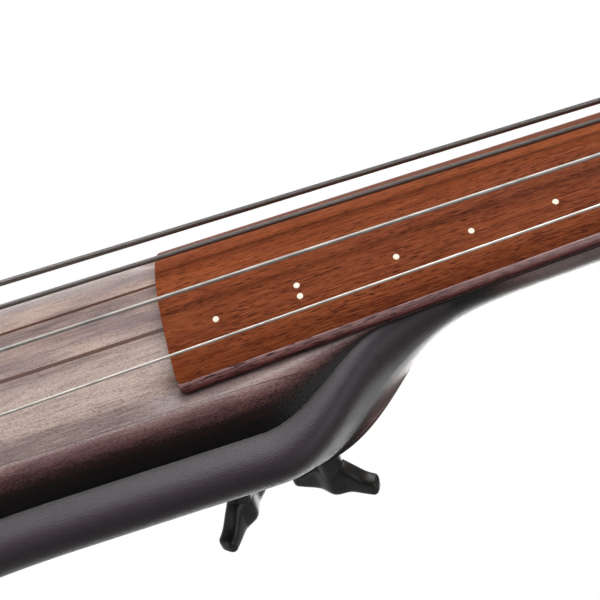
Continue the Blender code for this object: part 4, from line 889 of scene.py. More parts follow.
def box_cutter(low, high, matrix=Matrix()):
    """A box between two corners."""
    corners = np.array([[(x, y, z) for x, y in ((low[0], low[1]), (high[0], low[1]),
                                                (high[0], high[1]), (low[0], high[1]))]
                        for z in (low[2], high[2])], float)
    return cutter(moved(corners, matrix), ring_faces(2, 4))


def round_cutter(radius, low, high, matrix, sides=48):
    """A cylinder on the matrix's Z axis from low to high."""
    a = once_round(sides)
    ring = np.stack((radius * np.cos(a), radius * np.sin(a), np.zeros_like(a)), axis=-1)
    rings = np.stack((ring + (0, 0, low), ring + (0, 0, high)))
    return cutter(moved(rings, matrix), ring_faces(2, sides))


def carve(made, *cutters):
    """Takes the cutters out of the piece and deletes them; wood gets its sharp crease again."""
    is_wood = "crease_line" in made.data.attributes
    for tool in cutters:
        change = made.modifiers.new("carve", "BOOLEAN")
        change.operation = "DIFFERENCE"
        change.object = tool
        change.solver = "EXACT"
    graph = bpy.context.evaluated_depsgraph_get()
    graph.update()
    carved = bpy.data.meshes.new_from_object(made.evaluated_get(graph))
    made.modifiers.clear()
    made.data = carved
    for tool in cutters:
        bpy.data.objects.remove(tool)
    if is_wood:
        shade_wood(carved)


WOOD_LENGTHS = {
    "neck_core": (-STRIPE_INNER, STRIPE_INNER, MAPLE),
    "neck_stripe_treble": (STRIPE_INNER, STRIPE_OUTER, WALNUT),
    "neck_stripe_bass": (-STRIPE_OUTER, -STRIPE_INNER, WALNUT),
    "neck_side_treble": (STRIPE_OUTER, RIDGE_HALF, MAPLE),
    "neck_side_bass": (-RIDGE_HALF, -STRIPE_OUTER, MAPLE),
    "body_wing_treble": (RIDGE_HALF, None, WING_WOOD),
    "body_wing_bass": (None, -RIDGE_HALF, WING_WOOD),
}
WOOD = {}                      # the seven lengths, for the fittings to cut their pockets in


def make_wood():
    """Slices the blank at its glue lines into the seven lengths."""
    blank = wood_blank()
    for node, (low, high, look) in WOOD_LENGTHS.items():
        mesh = sliced(blank, low, high)
        mesh.name = "carved_" + node
        mesh.materials.append(look)
        shade_wood(mesh)
        WOOD[node] = new_object("carved_" + node, mesh)


def finish_wood():
    """Each length stands for its CAD node, once all its pockets are cut."""
    for node, made in WOOD.items():
        fit(made, node)


# Fingerboard and dots

CORNER_RADIUS = 0.0022
CORNER_STEPS = 7
ARC_POINTS = 61
EDGE_EASE = 0.0007
FOOT_BEVEL = 0.0006
GLUE_RISE = np.array((0.25, 0.45, 0.65, 0.85, 0.95, 1.0))   # down the side to the glue line


def make_board():
    """Rings along u: an arc on top, a rounded edge, an upright side and a bevelled foot.

    The corner at the near end is rounded by drawing the last rings in by a quarter circle.
    """
    turn = np.linspace(0, math.pi / 2, CORNER_STEPS)
    u = np.concatenate((BOARD_END + CORNER_RADIUS * (1 - np.sin(math.pi / 2 - turn)),
                        np.linspace(BOARD_END + CORNER_RADIUS, SCALE_LENGTH - GAP, 60)[1:]))
    inset = np.zeros_like(u)
    inset[:CORNER_STEPS] = CORNER_RADIUS * (1 - np.sin(turn))
    u, inset = u[:, None], inset[:, None]
    half = board_half(u) - inset
    radius, base = board_radius(u), board_base(u)
    across = np.linspace(-1, 1, ARC_POINTS) * (half - EDGE_EASE)
    top_w = arc(radius, across)
    t = np.linspace(0, 1, 6)[1:]
    edge_v = half - EDGE_EASE + EDGE_EASE * np.sin(t * math.pi / 2)
    edge_w = top_w[:, -1:] - EDGE_EASE * (1 - np.cos(t * math.pi / 2)) - 0.6 * EDGE_EASE * t
    side_w = mix(edge_w[:, -1:], base + FOOT_BEVEL, t)
    right_v = np.hstack((edge_v, half * np.ones_like(t), half - FOOT_BEVEL))
    right_w = np.hstack((edge_w, side_w, base))
    v = np.hstack((across, right_v, -right_v[:, ::-1]))
    w = np.hstack((top_w, right_w, right_w[:, ::-1]))
    rows, columns = v.shape
    faces = ring_faces(rows, columns)
    made = new_mesh("oiled_fingerboard", place(u, v, w), faces, (ROSEWOOD, RAW_EDGE), 40)
    index = np.zeros(len(faces), int)
    column = np.tile(np.arange(columns), rows - 1)
    under = ARC_POINTS + right_v.shape[1]
    index[:len(column)] = (column > ARC_POINTS) & (column < columns - 1) & (column != under)
    made.data.polygons.foreach_set("material_index", index)
    glue = np.zeros((rows, columns))
    glue[:, under - 6:under + 6] = np.concatenate((GLUE_RISE, GLUE_RISE[::-1]))
    hold(made.data, "glue", glue)
    fit(made, "fingerboard")


DOT_SIDES = 28


def make_dots():
    """Flat discs let into the board, each standing 0.03 mm proud of its arc.

    A disc is a fan of rings. The dot for position n lies at scale x 2^(-n/12), between the
    D and G strings, and positions 24 and 12 have a pair.
    """
    places = []
    for number in DOT_PLACES:
        u = SCALE_LENGTH * 2 ** (-number / 12)
        v = mix(BRIDGE_SPACING, NUT_SPACING, u / SCALE_LENGTH) - DOT_ASIDE
        if number in (24, 12):
            places += [(u, v - DOT_PAIR), (u, v + DOT_PAIR)]
        else:
            places.append((u, v))
    a = once_round(DOT_SIDES)
    radii = np.array((0.98, 1.0, 0.94, 0.6, 0.01))[:, None] * DOT_RADIUS
    lift = np.array((-0.00035, 0.0, 0.00003, 0.00003, 0.00003))[:, None]
    points, faces = [], []
    for u, v in places:
        vv = v + radii * np.cos(a)
        uu = u + radii * np.sin(a)
        first = len(points) * radii.size * DOT_SIDES
        faces += [[n + first for n in face] for face in ring_faces(radii.size, DOT_SIDES)]
        points.append(place(uu, vv, arc(board_radius(uu), vv) + lift))
    fit(new_mesh("position_dots", np.array(points), faces, PEARL, weld=0.0000001))


# Strings

def swept(name, path, radii, looks, sides=16, run=None):
    """A round tube: each ring stands square to the path, turned as little as possible.

    The UV map named run holds the arc length, in turns of the winding, and the angle.
    """
    path = np.asarray(path, float)
    radii = np.asarray(radii, float)
    along = np.gradient(path, axis=0)
    along /= np.linalg.norm(along, axis=1)[:, None]
    normal = np.cross(along[0], (1.0, 0.0, 0.0) if abs(along[0, 0]) < 0.9 else (0.0, 1.0, 0.0))
    normals = np.empty_like(path)
    for k, tangent in enumerate(along):
        normal = normal - tangent * (normal @ tangent)
        normal /= np.linalg.norm(normal)
        normals[k] = normal
    across = np.cross(along, normals)
    a = once_round(sides)
    ring = normals[:, None] * np.cos(a)[:, None] + across[:, None] * np.sin(a)[:, None]
    points = path[:, None] + ring * radii[:, None, None]
    made = new_mesh(name, points, ring_faces(len(path), sides), looks, 60)
    if run:
        length = np.concatenate(((0,), np.cumsum(np.linalg.norm(np.diff(path, axis=0), axis=1)))) / run
        uv = np.stack(np.broadcast_arrays(length[:, None], a / TURN), axis=-1).reshape(-1, 2)
        corners = np.empty(len(made.data.loops), int)
        made.data.loops.foreach_get("vertex_index", corners)
        made.data.uv_layers.new(name="run").data.foreach_set("uv", uv[corners].ravel())
    face_outwards(made.data)
    return made


POST_NEAR = 0.054
POST_STEP = 0.062
POST_OFFSET = 0.024
POST_WAIST = 0.0038
POST_FOOT = 0.0035
WINDING_TURNS = 2.0
WINDING_CLEAR = 0.0010
TURN_STEPS = 72
TUNER_PLACES = ((POST_NEAR, -POST_OFFSET, -1), (POST_NEAR + POST_STEP, -POST_OFFSET, -1),
                (POST_NEAR + POST_STEP, POST_OFFSET, 1), (POST_NEAR, POST_OFFSET, 1))


def winding_path(i):
    """From the nut to the post and round its waist: a helix that climbs evenly."""
    along, across, side = TUNER_PLACES[i]
    radius = STRING_RADII[i]
    wrap = POST_WAIST + GAP + radius
    start = head_frame(0, 0).inverted() @ Vector(place(NUT_END, *string_at_nut(i)))
    offset = np.array((start.x - across, start.y - along))
    first = math.atan2(offset[1], offset[0]) - side * math.acos(wrap / np.hypot(*offset))
    k = np.arange(int(TURN_STEPS * WINDING_TURNS) + 1)
    angle = first - side * TURN * k / TURN_STEPS
    height = POST_FOOT + 0.0006 + radius + (2 * radius + WINDING_CLEAR) * k / TURN_STEPS
    points = np.stack((across + wrap * np.cos(angle), along + wrap * np.sin(angle), height), axis=-1)
    away = points[-1] - points[-2]
    points = np.vstack((points, points[-1] + away / np.linalg.norm(away) * 2 * radius))
    return moved(points, head_frame(0, 0))


SADDLE_THICK = 0.0062
TAIL_FRONT = -0.142
TAIL_LENGTH = 0.026
TAIL_HEIGHT = 0.013
TAIL_END = TAIL_FRONT - TAIL_LENGTH
BALL_LENGTH = 0.005
BALL_RADIUS = 0.0029


def tail_string_height(v):
    """Height at which a string passes through the tailpiece."""
    return body_top(TAIL_FRONT) + TAIL_HEIGHT * 0.55 + arc(ARCH_RADIUS + TAIL_HEIGHT, v)


def run_between(a, b, count):
    """Evenly spaced places from a to b, without b."""
    return a + (b - a) * np.linspace(0, 1, count, endpoint=False)[:, None]


def make_string(i):
    """Ball end, tailpiece, saddle, nut and post, joined by straight runs."""
    letter, radius = STRING_NAMES[i], STRING_RADII[i]
    v, w = string_at_bridge(i)
    tail_w = tail_string_height(v)
    stop = place(TAIL_END - GAP, v, tail_w)
    out = place(TAIL_FRONT, v, tail_w)
    saddle = place(-SADDLE_THICK / 2, v, w)
    nut = place(SCALE_LENGTH, *string_at_nut(i))
    nut_end = place(NUT_END, *string_at_nut(i))
    wound = winding_path(i)
    body = np.vstack((run_between(stop, out, 3), run_between(out, saddle, 12), run_between(saddle, nut, 60),
                      run_between(nut, nut_end, 3), run_between(nut_end, wound[0], 6), wound))
    look = (WOUND_WIRE, WOUND_WIRE, DULL_WIRE, BRIGHT_WIRE)[i]
    fit(swept("wire_" + letter, body, np.full(len(body), radius), look, 20, WIND_PITCH), "string_" + letter)
    direction = (stop - out) / np.linalg.norm(stop - out)
    t = np.linspace(0, 1, 13)
    ball = stop + direction * (BALL_LENGTH * t)[:, None]
    swell = BALL_RADIUS * np.maximum(1 - np.abs(2 * t - 1) ** 6, 0.02) ** 0.5
    fit(swept("ball_" + letter, ball, swell, STRING_BRASS, 24))


# Wing bolts

TUBE_RADIUS = 0.0125
SOCKET_WALL = 0.0042
SOCKET_OUTER = TUBE_RADIUS + GAP + SOCKET_WALL
BOLTS = (("lower", 0.1525, 35), ("upper", 0.2035, 118))   # place along u, turn in degrees
BOLT_RADIUS = 0.003
BOSS_LENGTH = 0.008
WING_HUB_RADIUS = 0.0072
WING_HUB = 0.031
WING_NECK = 0.017
WING_HALF = 0.0245
WING_THICK = 0.0095


def wing_form(seat):
    """A moulded wing: cross-sections along X that narrow, rise and round off to the tips.

    At share s of the half width the section is a superellipse |y/b|^n + |z/h|^n = 1,
    whose half thickness b, half height h and middle follow smooth curves of s.
    """
    x = np.linspace(-1, 1, 91)[:, None]
    s = np.abs(x)
    cap = np.sqrt(np.maximum(1 - np.clip((s - 0.86) / 0.14, 0, 1) ** 2.4, 0.0))
    thick = mix(WING_HUB_RADIUS * 0.98, WING_THICK / 2, smooth(s / 0.38)) * mix(0.25, 1.0, cap)
    low = mix(0.0010, 0.0120, smoother((s - 0.10) / 0.85))
    high = mix(0.0252, 0.0228, smooth(s / 0.5))
    middle = seat + WING_NECK + (low + high) / 2
    tall = (high - low) / 2 * mix(0.35, 1.0, cap)
    a = once_round(40)
    power = 2 / 3.6
    ring_y = np.sign(np.cos(a)) * np.abs(np.cos(a)) ** power
    ring_z = np.sign(np.sin(a)) * np.abs(np.sin(a)) ** power
    return np.stack(np.broadcast_arrays(x * WING_HALF, thick * ring_y, middle + tall * ring_z), axis=-1)


def make_wing_bolt(name, matrix, tip, seat, body, node):
    """Threaded shank, round hub and moulded wings, all on one bolt."""
    shank = [(0, tip), (BOLT_RADIUS, tip, 0.0004), (BOLT_RADIUS, seat + 0.001), (0, seat + 0.001)]
    fit(lathe(name + "_shank", shank, matrix, BARE_STEEL), body=body)
    end = seat + WING_HUB - 0.001
    hub = [(0, seat), (WING_HUB_RADIUS - 0.0006, seat), (WING_HUB_RADIUS, seat + 0.0006),
           (WING_HUB_RADIUS * 0.97, seat + WING_NECK), (WING_HUB_RADIUS * 0.92, end), (0, end)]
    fit(lathe(name + "_hub", hub, matrix, BOLT_PLASTIC), body=body)
    wings = moved(wing_form(seat), matrix)
    fit(new_mesh(name + "_wings", wings, ring_faces(*wings.shape[:2]), BOLT_PLASTIC, 60), node, body)


def make_body_bolts():
    """The two wing bolts on the back, each as far turned as the photograph shows."""
    for which, u, turn in BOLTS:
        outwards = spun(backwards(frame_at(u, 0, -TUBE_BACK)), math.radians(turn))
        make_wing_bolt(which + "_bolt_knob", outwards, TUBE_RADIUS + GAP, SOCKET_OUTER + BOSS_LENGTH + GAP,
                       which + "_bolt", "wing_bolt_" + which)


# Nut, truss rod and its cover

ROD_START = 0.300
ROD_RADIUS = 0.0032
ROD_NUT = 0.0042
ROD_DEPTH = 0.0070
ROD_END = NUT_END + 0.012
COVER_THICK = 0.002


def make_nut():
    """A bone block across the end of the board, arched as the board is and notched for the strings."""
    v = np.linspace(-BOARD_HALF_NUT, BOARD_HALF_NUT, 421)
    top = notched(NUT_STRING_HEIGHT + arc(BOARD_RADIUS_NUT, v), v, string_at_nut)
    fit(arched_block("slotted_nut", (SCALE_LENGTH, NUT_END - GAP), v, top, np.full_like(v, NUT_BASE), 0.0008,
                     BONE), "nut")


def make_truss_rod():
    """A round rod under the board with its nut in the head, and the pocket round them."""
    low_w, high_w = board_base(ROD_START) - ROD_DEPTH, board_base(SCALE_LENGTH) - ROD_DEPTH
    where = spun(upright(ROD_START, 0, low_w), math.atan2(high_w - low_w, SCALE_LENGTH - ROD_START), "X")
    length = ROD_END - ROD_START
    groove, room = ROD_RADIUS + GAP, ROD_NUT + 0.0015
    carve(WOOD["neck_core"], box_cutter((-groove, -0.02, -0.002), (groove, groove, length), where),
          box_cutter((-room, -0.02, length - 0.008), (room, ROD_NUT + GAP, length + 0.012), where))
    rod = [(0, length), (ROD_NUT, length, 0.0004), (ROD_NUT, length - 0.007), (ROD_RADIUS, length - 0.0071),
           (ROD_RADIUS, 0), (0, 0)]
    fit(lathe("adjusting_rod", rod, where, BARE_STEEL), "truss_rod")
    half = np.array([(0.011, 0.0035), (0.012, 0.012), (0.0085, 0.026), (0.004, 0.036), (0, 0.038)])
    outline = np.vstack((half, half[-2::-1] * (-1, 1)))
    fit(prism("rod_cover_plate", outline, 0, COVER_THICK - 0.0001, head_frame(0, 0), BLACK_PLASTIC),
        "truss_rod_cover")
    places = [head_frame(y, x, COVER_THICK) for x, y in ((-0.0088, 0.008), (0.0088, 0.008), (0, 0.033))]
    screws("rod_cover_screws", places, 0.0017)


# Tuners: worm and wheel behind the head, post in front of it

GEAR_TEETH = 16
GEAR_RADIUS = 0.0090
TOOTH_HEIGHT = 0.0009
TOOTH_ROOT = 0.0012
GEAR_THICK = 0.0045
WORM_RADIUS = 0.0042
WORM_LENGTH = 0.0115
WORM_SHAFT = 0.0024
PLATE_THICK = 0.0016
PLATE_INNER = 0.0125
PLATE_OUTER = HEAD_HALF - 0.0005 - POST_OFFSET
KEY_REACH = 0.021
KEY_SIZE = 0.0125
KEY_THICK = 0.0042
POST_RADIUS = 0.0050
POST_TOP = 0.0205
LUG_THICK = 0.0022
WORM_OFFSET = GEAR_RADIUS + WORM_RADIUS + 0.0001
GEAR_TOP = -HEAD_THICK - 2 * GAP - PLATE_THICK
WORM_HEIGHT = GEAR_TOP - WORM_RADIUS - TOOTH_HEIGHT
GEAR_PITCH = TURN * GEAR_RADIUS / GEAR_TEETH


def gear_outline():
    """Straight-sided teeth round the wheel, one of them pointing along +Y."""
    middle = math.pi / 2 + np.arange(GEAR_TEETH)[:, None] * TURN / GEAR_TEETH
    angle = (middle + np.array((-0.30, -0.11, 0.11, 0.30)) * TURN / GEAR_TEETH).ravel()
    outer, root = GEAR_RADIUS + TOOTH_HEIGHT, GEAR_RADIUS - TOOTH_ROOT
    radius = np.tile((root, outer, outer, root), GEAR_TEETH)
    return np.column_stack((radius * np.cos(angle), radius * np.sin(angle)))


def make_worm(name, matrix):
    """Radius follows a helical wave cos(2 pi x / pitch - angle), flattened at its crests."""
    x = np.linspace(-WORM_LENGTH / 2, WORM_LENGTH / 2, 97)[:, None]
    a = once_round(48)
    height = np.clip(1.7 * np.cos(TURN * x / GEAR_PITCH - a), -1, 0.75) / 0.75
    radius = WORM_RADIUS + np.where(height < 0, 0.75 * TOOTH_ROOT, TOOTH_HEIGHT) * height
    points = np.stack((x * np.ones_like(a), radius * np.cos(a), radius * np.sin(a)), axis=-1)
    return new_mesh(name, moved(points, matrix), ring_faces(*radius.shape), CHROME, 50, weld=WELD)


def make_key_grip(name, matrix):
    """A three-lobed leaf r = R (1 + 0.12 cos 3a), swelling to its middle like a pillow."""
    a = once_round(90)
    t = np.linspace(-1, 1, 15)[1:-1, None]
    lobe = KEY_SIZE * (1 + 0.12 * np.cos(3 * a))
    share = (1 - np.abs(t) ** 3.2) ** (1 / 3.2)
    rise = KEY_THICK / 2 * t * np.ones_like(a)
    points = np.stack((share * lobe * np.cos(a), 0.86 * share * lobe * np.sin(a), rise), axis=-1)
    return new_mesh(name, moved(points, matrix), ring_faces(*rise.shape), CHROME, 50, weld=WELD)


def make_post(letter, along, across, side):
    """The post in its bore through the head, with the wheel and its screw on the end of it."""
    at, body = head_frame(along, across), "post_" + letter
    carve(WOOD["neck_side_treble" if side > 0 else "neck_side_bass"],
          round_cutter(POST_RADIUS + GAP, GEAR_TOP - 0.002, 0.01, at))
    post = [(0, POST_TOP), (POST_WAIST + 0.0006, POST_TOP), (POST_WAIST + 0.0010, POST_TOP - 0.0004),
            (POST_WAIST + 0.0014, POST_TOP - 0.0015), (POST_WAIST, POST_TOP - 0.0035), (POST_WAIST, POST_FOOT),
            (POST_RADIUS, POST_FOOT - 0.0015), (POST_RADIUS, WORM_HEIGHT), (0, WORM_HEIGHT)]
    fit(lathe("winding_post_" + letter, post, at, CHROME), "string_post_" + letter, body)
    wheel_at = head_frame(along, across, WORM_HEIGHT)
    fit(prism("worm_wheel_" + letter, gear_outline(), -GEAR_THICK / 2, GEAR_THICK / 2, wheel_at, BRASS, 0.00015),
        body=body)
    under = backwards(shifted(wheel_at, z=-GEAR_THICK / 2))
    screws("wheel_screw_" + letter, [shifted(under, z=0.0006)], 0.0035, BARE_STEEL, body)


def make_tuner_plate(letter, along, across, side):
    """The plate behind the head, two lugs that hold the worm between them, and four screws."""
    half, shift = (PLATE_OUTER + PLATE_INNER) / 2, (PLATE_OUTER - PLATE_INNER) / 2 * side
    at = head_frame(along, across, -HEAD_THICK - GAP)
    fit(prism("tuner_base_" + letter, rounded_box(half, 0.0185, 0.004, (shift, 0.004)), -PLATE_THICK, 0, at,
              CHROME, 0.0004), "tuner_plate_" + letter)
    worm_low = WORM_HEIGHT + HEAD_THICK + GAP - 0.0046
    for end in (-1, 1):
        middle = end * (WORM_LENGTH / 2 + GAP + LUG_THICK / 2)
        fit(prism(f"worm_lug_{letter}_{'out' if end * side > 0 else 'in'}",
                  rounded_box(LUG_THICK / 2, 0.0042, 0.0004, (middle, WORM_OFFSET)), worm_low, -PLATE_THICK / 2,
                  at, CHROME, 0.0003))
    behind = backwards(shifted(at, z=-PLATE_THICK))
    screws("tuner_screws_" + letter,
           [shifted(behind, shift + x * (half - 0.0034), -(0.004 + y * 0.0150)) for x in (-1, 1) for y in (-1, 1)],
           0.0021)


def make_key(letter, along, across, side):
    """Worm, shaft and grip on one line across the head."""
    at, body = head_frame(along + WORM_OFFSET, across, WORM_HEIGHT), "key_" + letter
    fit(make_worm("worm_" + letter, at), "tuning_key_" + letter, body)
    bearing, far = WORM_LENGTH / 2 + LUG_THICK, PLATE_OUTER + KEY_REACH
    shaft = [(0, -bearing - 0.0012), (WORM_SHAFT, -bearing - 0.0012, 0.0003), (WORM_SHAFT, bearing + GAP),
             (WORM_SHAFT + 0.0008, bearing + 2 * GAP), (WORM_SHAFT + 0.0008, far - 0.0150),
             (WORM_SHAFT + 0.0002, far - 0.0142), (WORM_SHAFT + 0.0008, far - 0.0130),
             (WORM_SHAFT - 0.0004, far - 0.006), (0, far - 0.005)]
    fit(lathe("key_shaft_" + letter, shaft, spun(at, side * math.pi / 2, "Y"), CHROME), body=body)
    grip_at = shifted(at, side * far)
    fit(make_key_grip("key_grip_" + letter, spun(grip_at, math.pi) if side < 0 else grip_at), body=body)


# Bridge, its height wheels and the tailpiece

BRIDGE_THICK = 0.009
BRIDGE_HALF = 0.051
BRIDGE_BASE = 0.0050
PICKUP_THICK = 0.0016
WHEEL_OFFSET = 0.030
WHEEL_RADIUS = 0.0080
WHEEL_THICK = 0.0035
STUD_RADIUS = 0.0025
STUD_DEPTH = 0.020
TAIL_HALF = 0.054


def make_bridge():
    """From the top down: slotted saddle, pickup bar, base, and two knurled height wheels."""
    wheel_low = body_top(0) + float(arc(ARCH_RADIUS, WHEEL_OFFSET - WHEEL_RADIUS)) + 0.0004
    wheel_high = wheel_low + WHEEL_THICK
    base_low = wheel_high + GAP
    bar_low = base_low + BRIDGE_BASE + GAP
    saddle_low = bar_low + PICKUP_THICK + GAP
    fit(prism("bridge_foot_bar", rounded_box(BRIDGE_HALF, BRIDGE_THICK / 2, 0.0012), base_low,
              base_low + BRIDGE_BASE, frame_at(0, 0, 0), BRIDGE_WOOD, 0.0009), "bridge_base")
    fit(prism("pickup_strip", rounded_box(BRIDGE_HALF - 0.004, SADDLE_THICK / 2, 0.0003), bar_low,
              bar_low + PICKUP_THICK, frame_at(0, 0, 0), BLACK_PLASTIC, 0.0003), "pickup_bar")
    v = np.linspace(-BRIDGE_HALF, BRIDGE_HALF, 601)
    top = notched(BRIDGE_STRING_HEIGHT + arc(BRIDGE_ARC, v), v, string_at_bridge)
    fit(arched_block("arched_saddle", (-SADDLE_THICK / 2, SADDLE_THICK / 2), v, top,
                     np.full_like(v, saddle_low), 0.0006, EBONY), "bridge_saddle")
    for side, side_name in ((-1, "bass"), (1, "treble")):
        where = frame_at(0, side * WHEEL_OFFSET, 0)
        low, high = wheel_low - STUD_DEPTH, base_low + BRIDGE_BASE * 0.6
        carve(WOOD["neck_side_" + side_name], round_cutter(STUD_RADIUS + GAP, low - GAP, 0.0, where))
        wheel = [(0, high), (STUD_RADIUS, high), (STUD_RADIUS, wheel_high), (WHEEL_RADIUS - 0.0008, wheel_high),
                 (WHEEL_RADIUS, wheel_high - 0.0006), (WHEEL_RADIUS, wheel_low + 0.0006),
                 (WHEEL_RADIUS - 0.0008, wheel_low), (STUD_RADIUS, wheel_low), (STUD_RADIUS, low), (0, low)]
        fit(lathe("height_wheel_knurled_" + side_name, wheel, where, BRASS, 240,
                  ripple=(0, 0, 0, 0, 0.0004, 0.0004, 0, 0, 0, 0), ridges=48), "height_wheel_" + side_name)


def make_tailpiece():
    """An arched ebony block, drilled for the strings."""
    v = np.linspace(-TAIL_HALF, TAIL_HALF, 161)
    low = body_top(TAIL_FRONT) + arc(ARCH_RADIUS, np.clip(v, -RIDGE_HALF, RIDGE_HALF)) + GAP
    top = body_top(TAIL_FRONT) + arc(ARCH_RADIUS + TAIL_HEIGHT, v) + TAIL_HEIGHT
    block = arched_block("ebony_tail_block", (TAIL_END, TAIL_FRONT), v, top, low, 0.0018, EBONY)
    holes = []
    for i, radius in enumerate(STRING_RADII):
        string_v = string_at_bridge(i)[0]
        where = upright(TAIL_END, string_v, tail_string_height(string_v))
        holes.append(round_cutter(radius + 0.0004, -0.05, 0.05, where, 32))
    carve(block, *holes)
    fit(block, "tailpiece")


# Controls, jack and battery

KNOB_NAMES = ("volume", "tone")
KNOB_FIRST = -0.074
KNOB_STEP = 0.036
KNOB_OFFSET = 0.030
KNOB_RADIUS = 0.0085
KNOB_HEIGHT = 0.013
SHAFT_RADIUS = 0.003
POT_RADIUS = 0.0078
POT_HEIGHT = 0.008
TOP_WALL = 0.0055
POCKET_HALF = 0.0125
POCKET_MIDDLE = 0.0305
POCKET_DEPTH = 0.036
JACK_RADIUS = 0.0060
JACK_FLANGE = 0.0078
JACK_BORE = 0.0034
JACK_LENGTH = 0.026
JACK_U = -0.205


def back_box(side, low, high, half, depth):
    """Cutter for a pocket let into the back on one side, between two places along u."""
    middle = side * POCKET_MIDDLE
    a, b = place(low, middle - half, depth - BODY_BACK), place(high, middle + half, -BODY_BACK - 0.01)
    return box_cutter(np.minimum(a, b), np.maximum(a, b))


def make_knob(knob, where):
    """A knob with a knurled skirt and a pointer, and the potentiometer under the arch."""
    rim, foot, top = KNOB_HEIGHT - 0.0004, 0.0008 - TOP_WALL, -TOP_WALL - GAP
    profile = [(0, rim), (KNOB_RADIUS - 0.0032, rim), (KNOB_RADIUS - 0.0026, KNOB_HEIGHT),
               (KNOB_RADIUS - 0.0014, rim), (KNOB_RADIUS - 0.0008, KNOB_HEIGHT - 0.0014),
               (KNOB_RADIUS - 0.0001, 0.0034), (KNOB_RADIUS, 0.0026), (KNOB_RADIUS, 0.0014),
               (SHAFT_RADIUS, 0.0014), (SHAFT_RADIUS, foot), (0, foot)]
    fit(lathe("turning_knob_" + knob, profile, where, BLACK_PLASTIC, 240,
              ripple=(0, 0, 0, 0.0001, 0.0004, 0.0004, 0, 0, 0, 0, 0), ridges=40), "knob_" + knob, knob)
    fit(prism("knob_pointer_" + knob, rounded_box(0.0004, 0.0020, 0.0003, (0, 0.0030)),
              KNOB_HEIGHT - 0.0006, KNOB_HEIGHT - 0.00025, where, MARK_PAINT, 0.00005), body=knob)
    pot = [(0, top), (POT_RADIUS, top, 0.0005), (POT_RADIUS, top - POT_HEIGHT), (0, top - POT_HEIGHT)]
    fit(lathe("rotary_potentiometer_" + knob, pot, where, BARE_STEEL), "potentiometer_" + knob)


def make_controls():
    """Knobs on the arch, and behind them a pocket in the back with the circuit board and cover."""
    low, high = KNOB_FIRST - KNOB_STEP - 0.016, KNOB_FIRST + 0.016
    cutters = [back_box(1, low, high, POCKET_HALF, POCKET_DEPTH)]
    for k, knob in enumerate(KNOB_NAMES):
        u = KNOB_FIRST - k * KNOB_STEP
        where = frame_at(u, KNOB_OFFSET, body_top(u) + float(arc(ARCH_RADIUS, KNOB_OFFSET)),
                         tilt=math.asin(KNOB_OFFSET / ARCH_RADIUS))
        cutters += [round_cutter(SHAFT_RADIUS + 2 * GAP, -0.03, 0.01, where),
                    round_cutter(POT_RADIUS + GAP, -0.032, -TOP_WALL, where)]
        make_knob(knob, where)
    carve(WOOD["neck_side_treble"], *cutters)
    middle = frame_at((low + high) / 2, POCKET_MIDDLE, -BODY_BACK)
    fit(prism("preamp_board", rounded_box(POCKET_HALF - GAP, (high - low) / 2 - 0.006, 0.0008), 0.0024, 0.0040,
              middle, CIRCUIT_GREEN, 0.0002), "circuit_board")
    half_x, half_y = POCKET_HALF + 0.0030, (high - low) / 2 + 0.005
    fit(prism("control_plate", rounded_box(half_x, half_y, 0.004), -GAP - COVER_THICK, -GAP, middle,
              BLACK_PLASTIC, 0.0004), "control_cover")
    outside = backwards(shifted(middle, z=-GAP - COVER_THICK))
    screws("control_plate_screws", [shifted(outside, x * (half_x - 0.0035), y * (half_y - 0.0035), -0.0002)
                                    for x in (-1, 1) for y in (-1, 1)], 0.0019)


def make_jack():
    """A chromed socket in the treble side, with the flat and the hole cut for it."""
    where = spun(upright(JACK_U, CREASE_HALF + LOWER_BOUT + 0.008, -mix(CREASE_DEPTH, BODY_BACK, 0.40)),
                 math.pi / 2, "Y")
    carve(WOOD["body_wing_treble"], round_cutter(JACK_FLANGE + 0.0008, 0, 0.05, where, 64),
          round_cutter(JACK_RADIUS + GAP, -0.0275, 0.01, where, 64))
    out, bottom = 0.0022 + GAP, 0.003 - JACK_LENGTH
    barrel = [(JACK_BORE, out - 0.0006), (JACK_BORE + 0.0004, out - 0.0002), (0.0058, out), (0.0064, out - 0.0005),
              (JACK_FLANGE - 0.0003, out - 0.0007), (JACK_FLANGE, out - 0.0011), (JACK_FLANGE, GAP),
              (JACK_RADIUS, GAP), (JACK_RADIUS, -JACK_LENGTH), (0, -JACK_LENGTH), (0, bottom), (JACK_BORE, bottom)]
    fit(lathe("plug_socket_barrel", barrel, where, CHROME, 96, ring=True), "output_jack")


BATTERY_SIZE = (0.0175, 0.0485, 0.0265)
BATTERY_U = -0.130
TRAY_WALL = 0.0012
CELL_ROOM = 0.0005


def make_battery():
    """Nine volt block in its hinged tray; the tray and the door keep the CAD pieces' form."""
    thick, length, deep = BATTERY_SIZE
    clear = CELL_ROOM + TRAY_WALL + GAP
    carve(WOOD["neck_side_bass"], back_box(-1, BATTERY_U - length / 2 - clear, BATTERY_U + length / 2 + clear,
                                           thick / 2 + clear, deep + 0.0010 + TRAY_WALL + GAP))
    fit(copied("battery_box", "battery_tray", BLACK_PLASTIC, 0.00025), "battery_tray")
    fit(copied("battery_flap", "battery_door", BLACK_PLASTIC, 0.0003), "battery_door", "battery_lid")
    fit(prism("nine_volt_battery", rounded_box(thick / 2, length / 2, 0.0018), CELL_ROOM, CELL_ROOM + deep,
              frame_at(BATTERY_U, -POCKET_MIDDLE, -BODY_BACK), CELL_WRAP, 0.0010), "battery")


# Stand: socket on the back, tubes, collar, hub, legs and feet

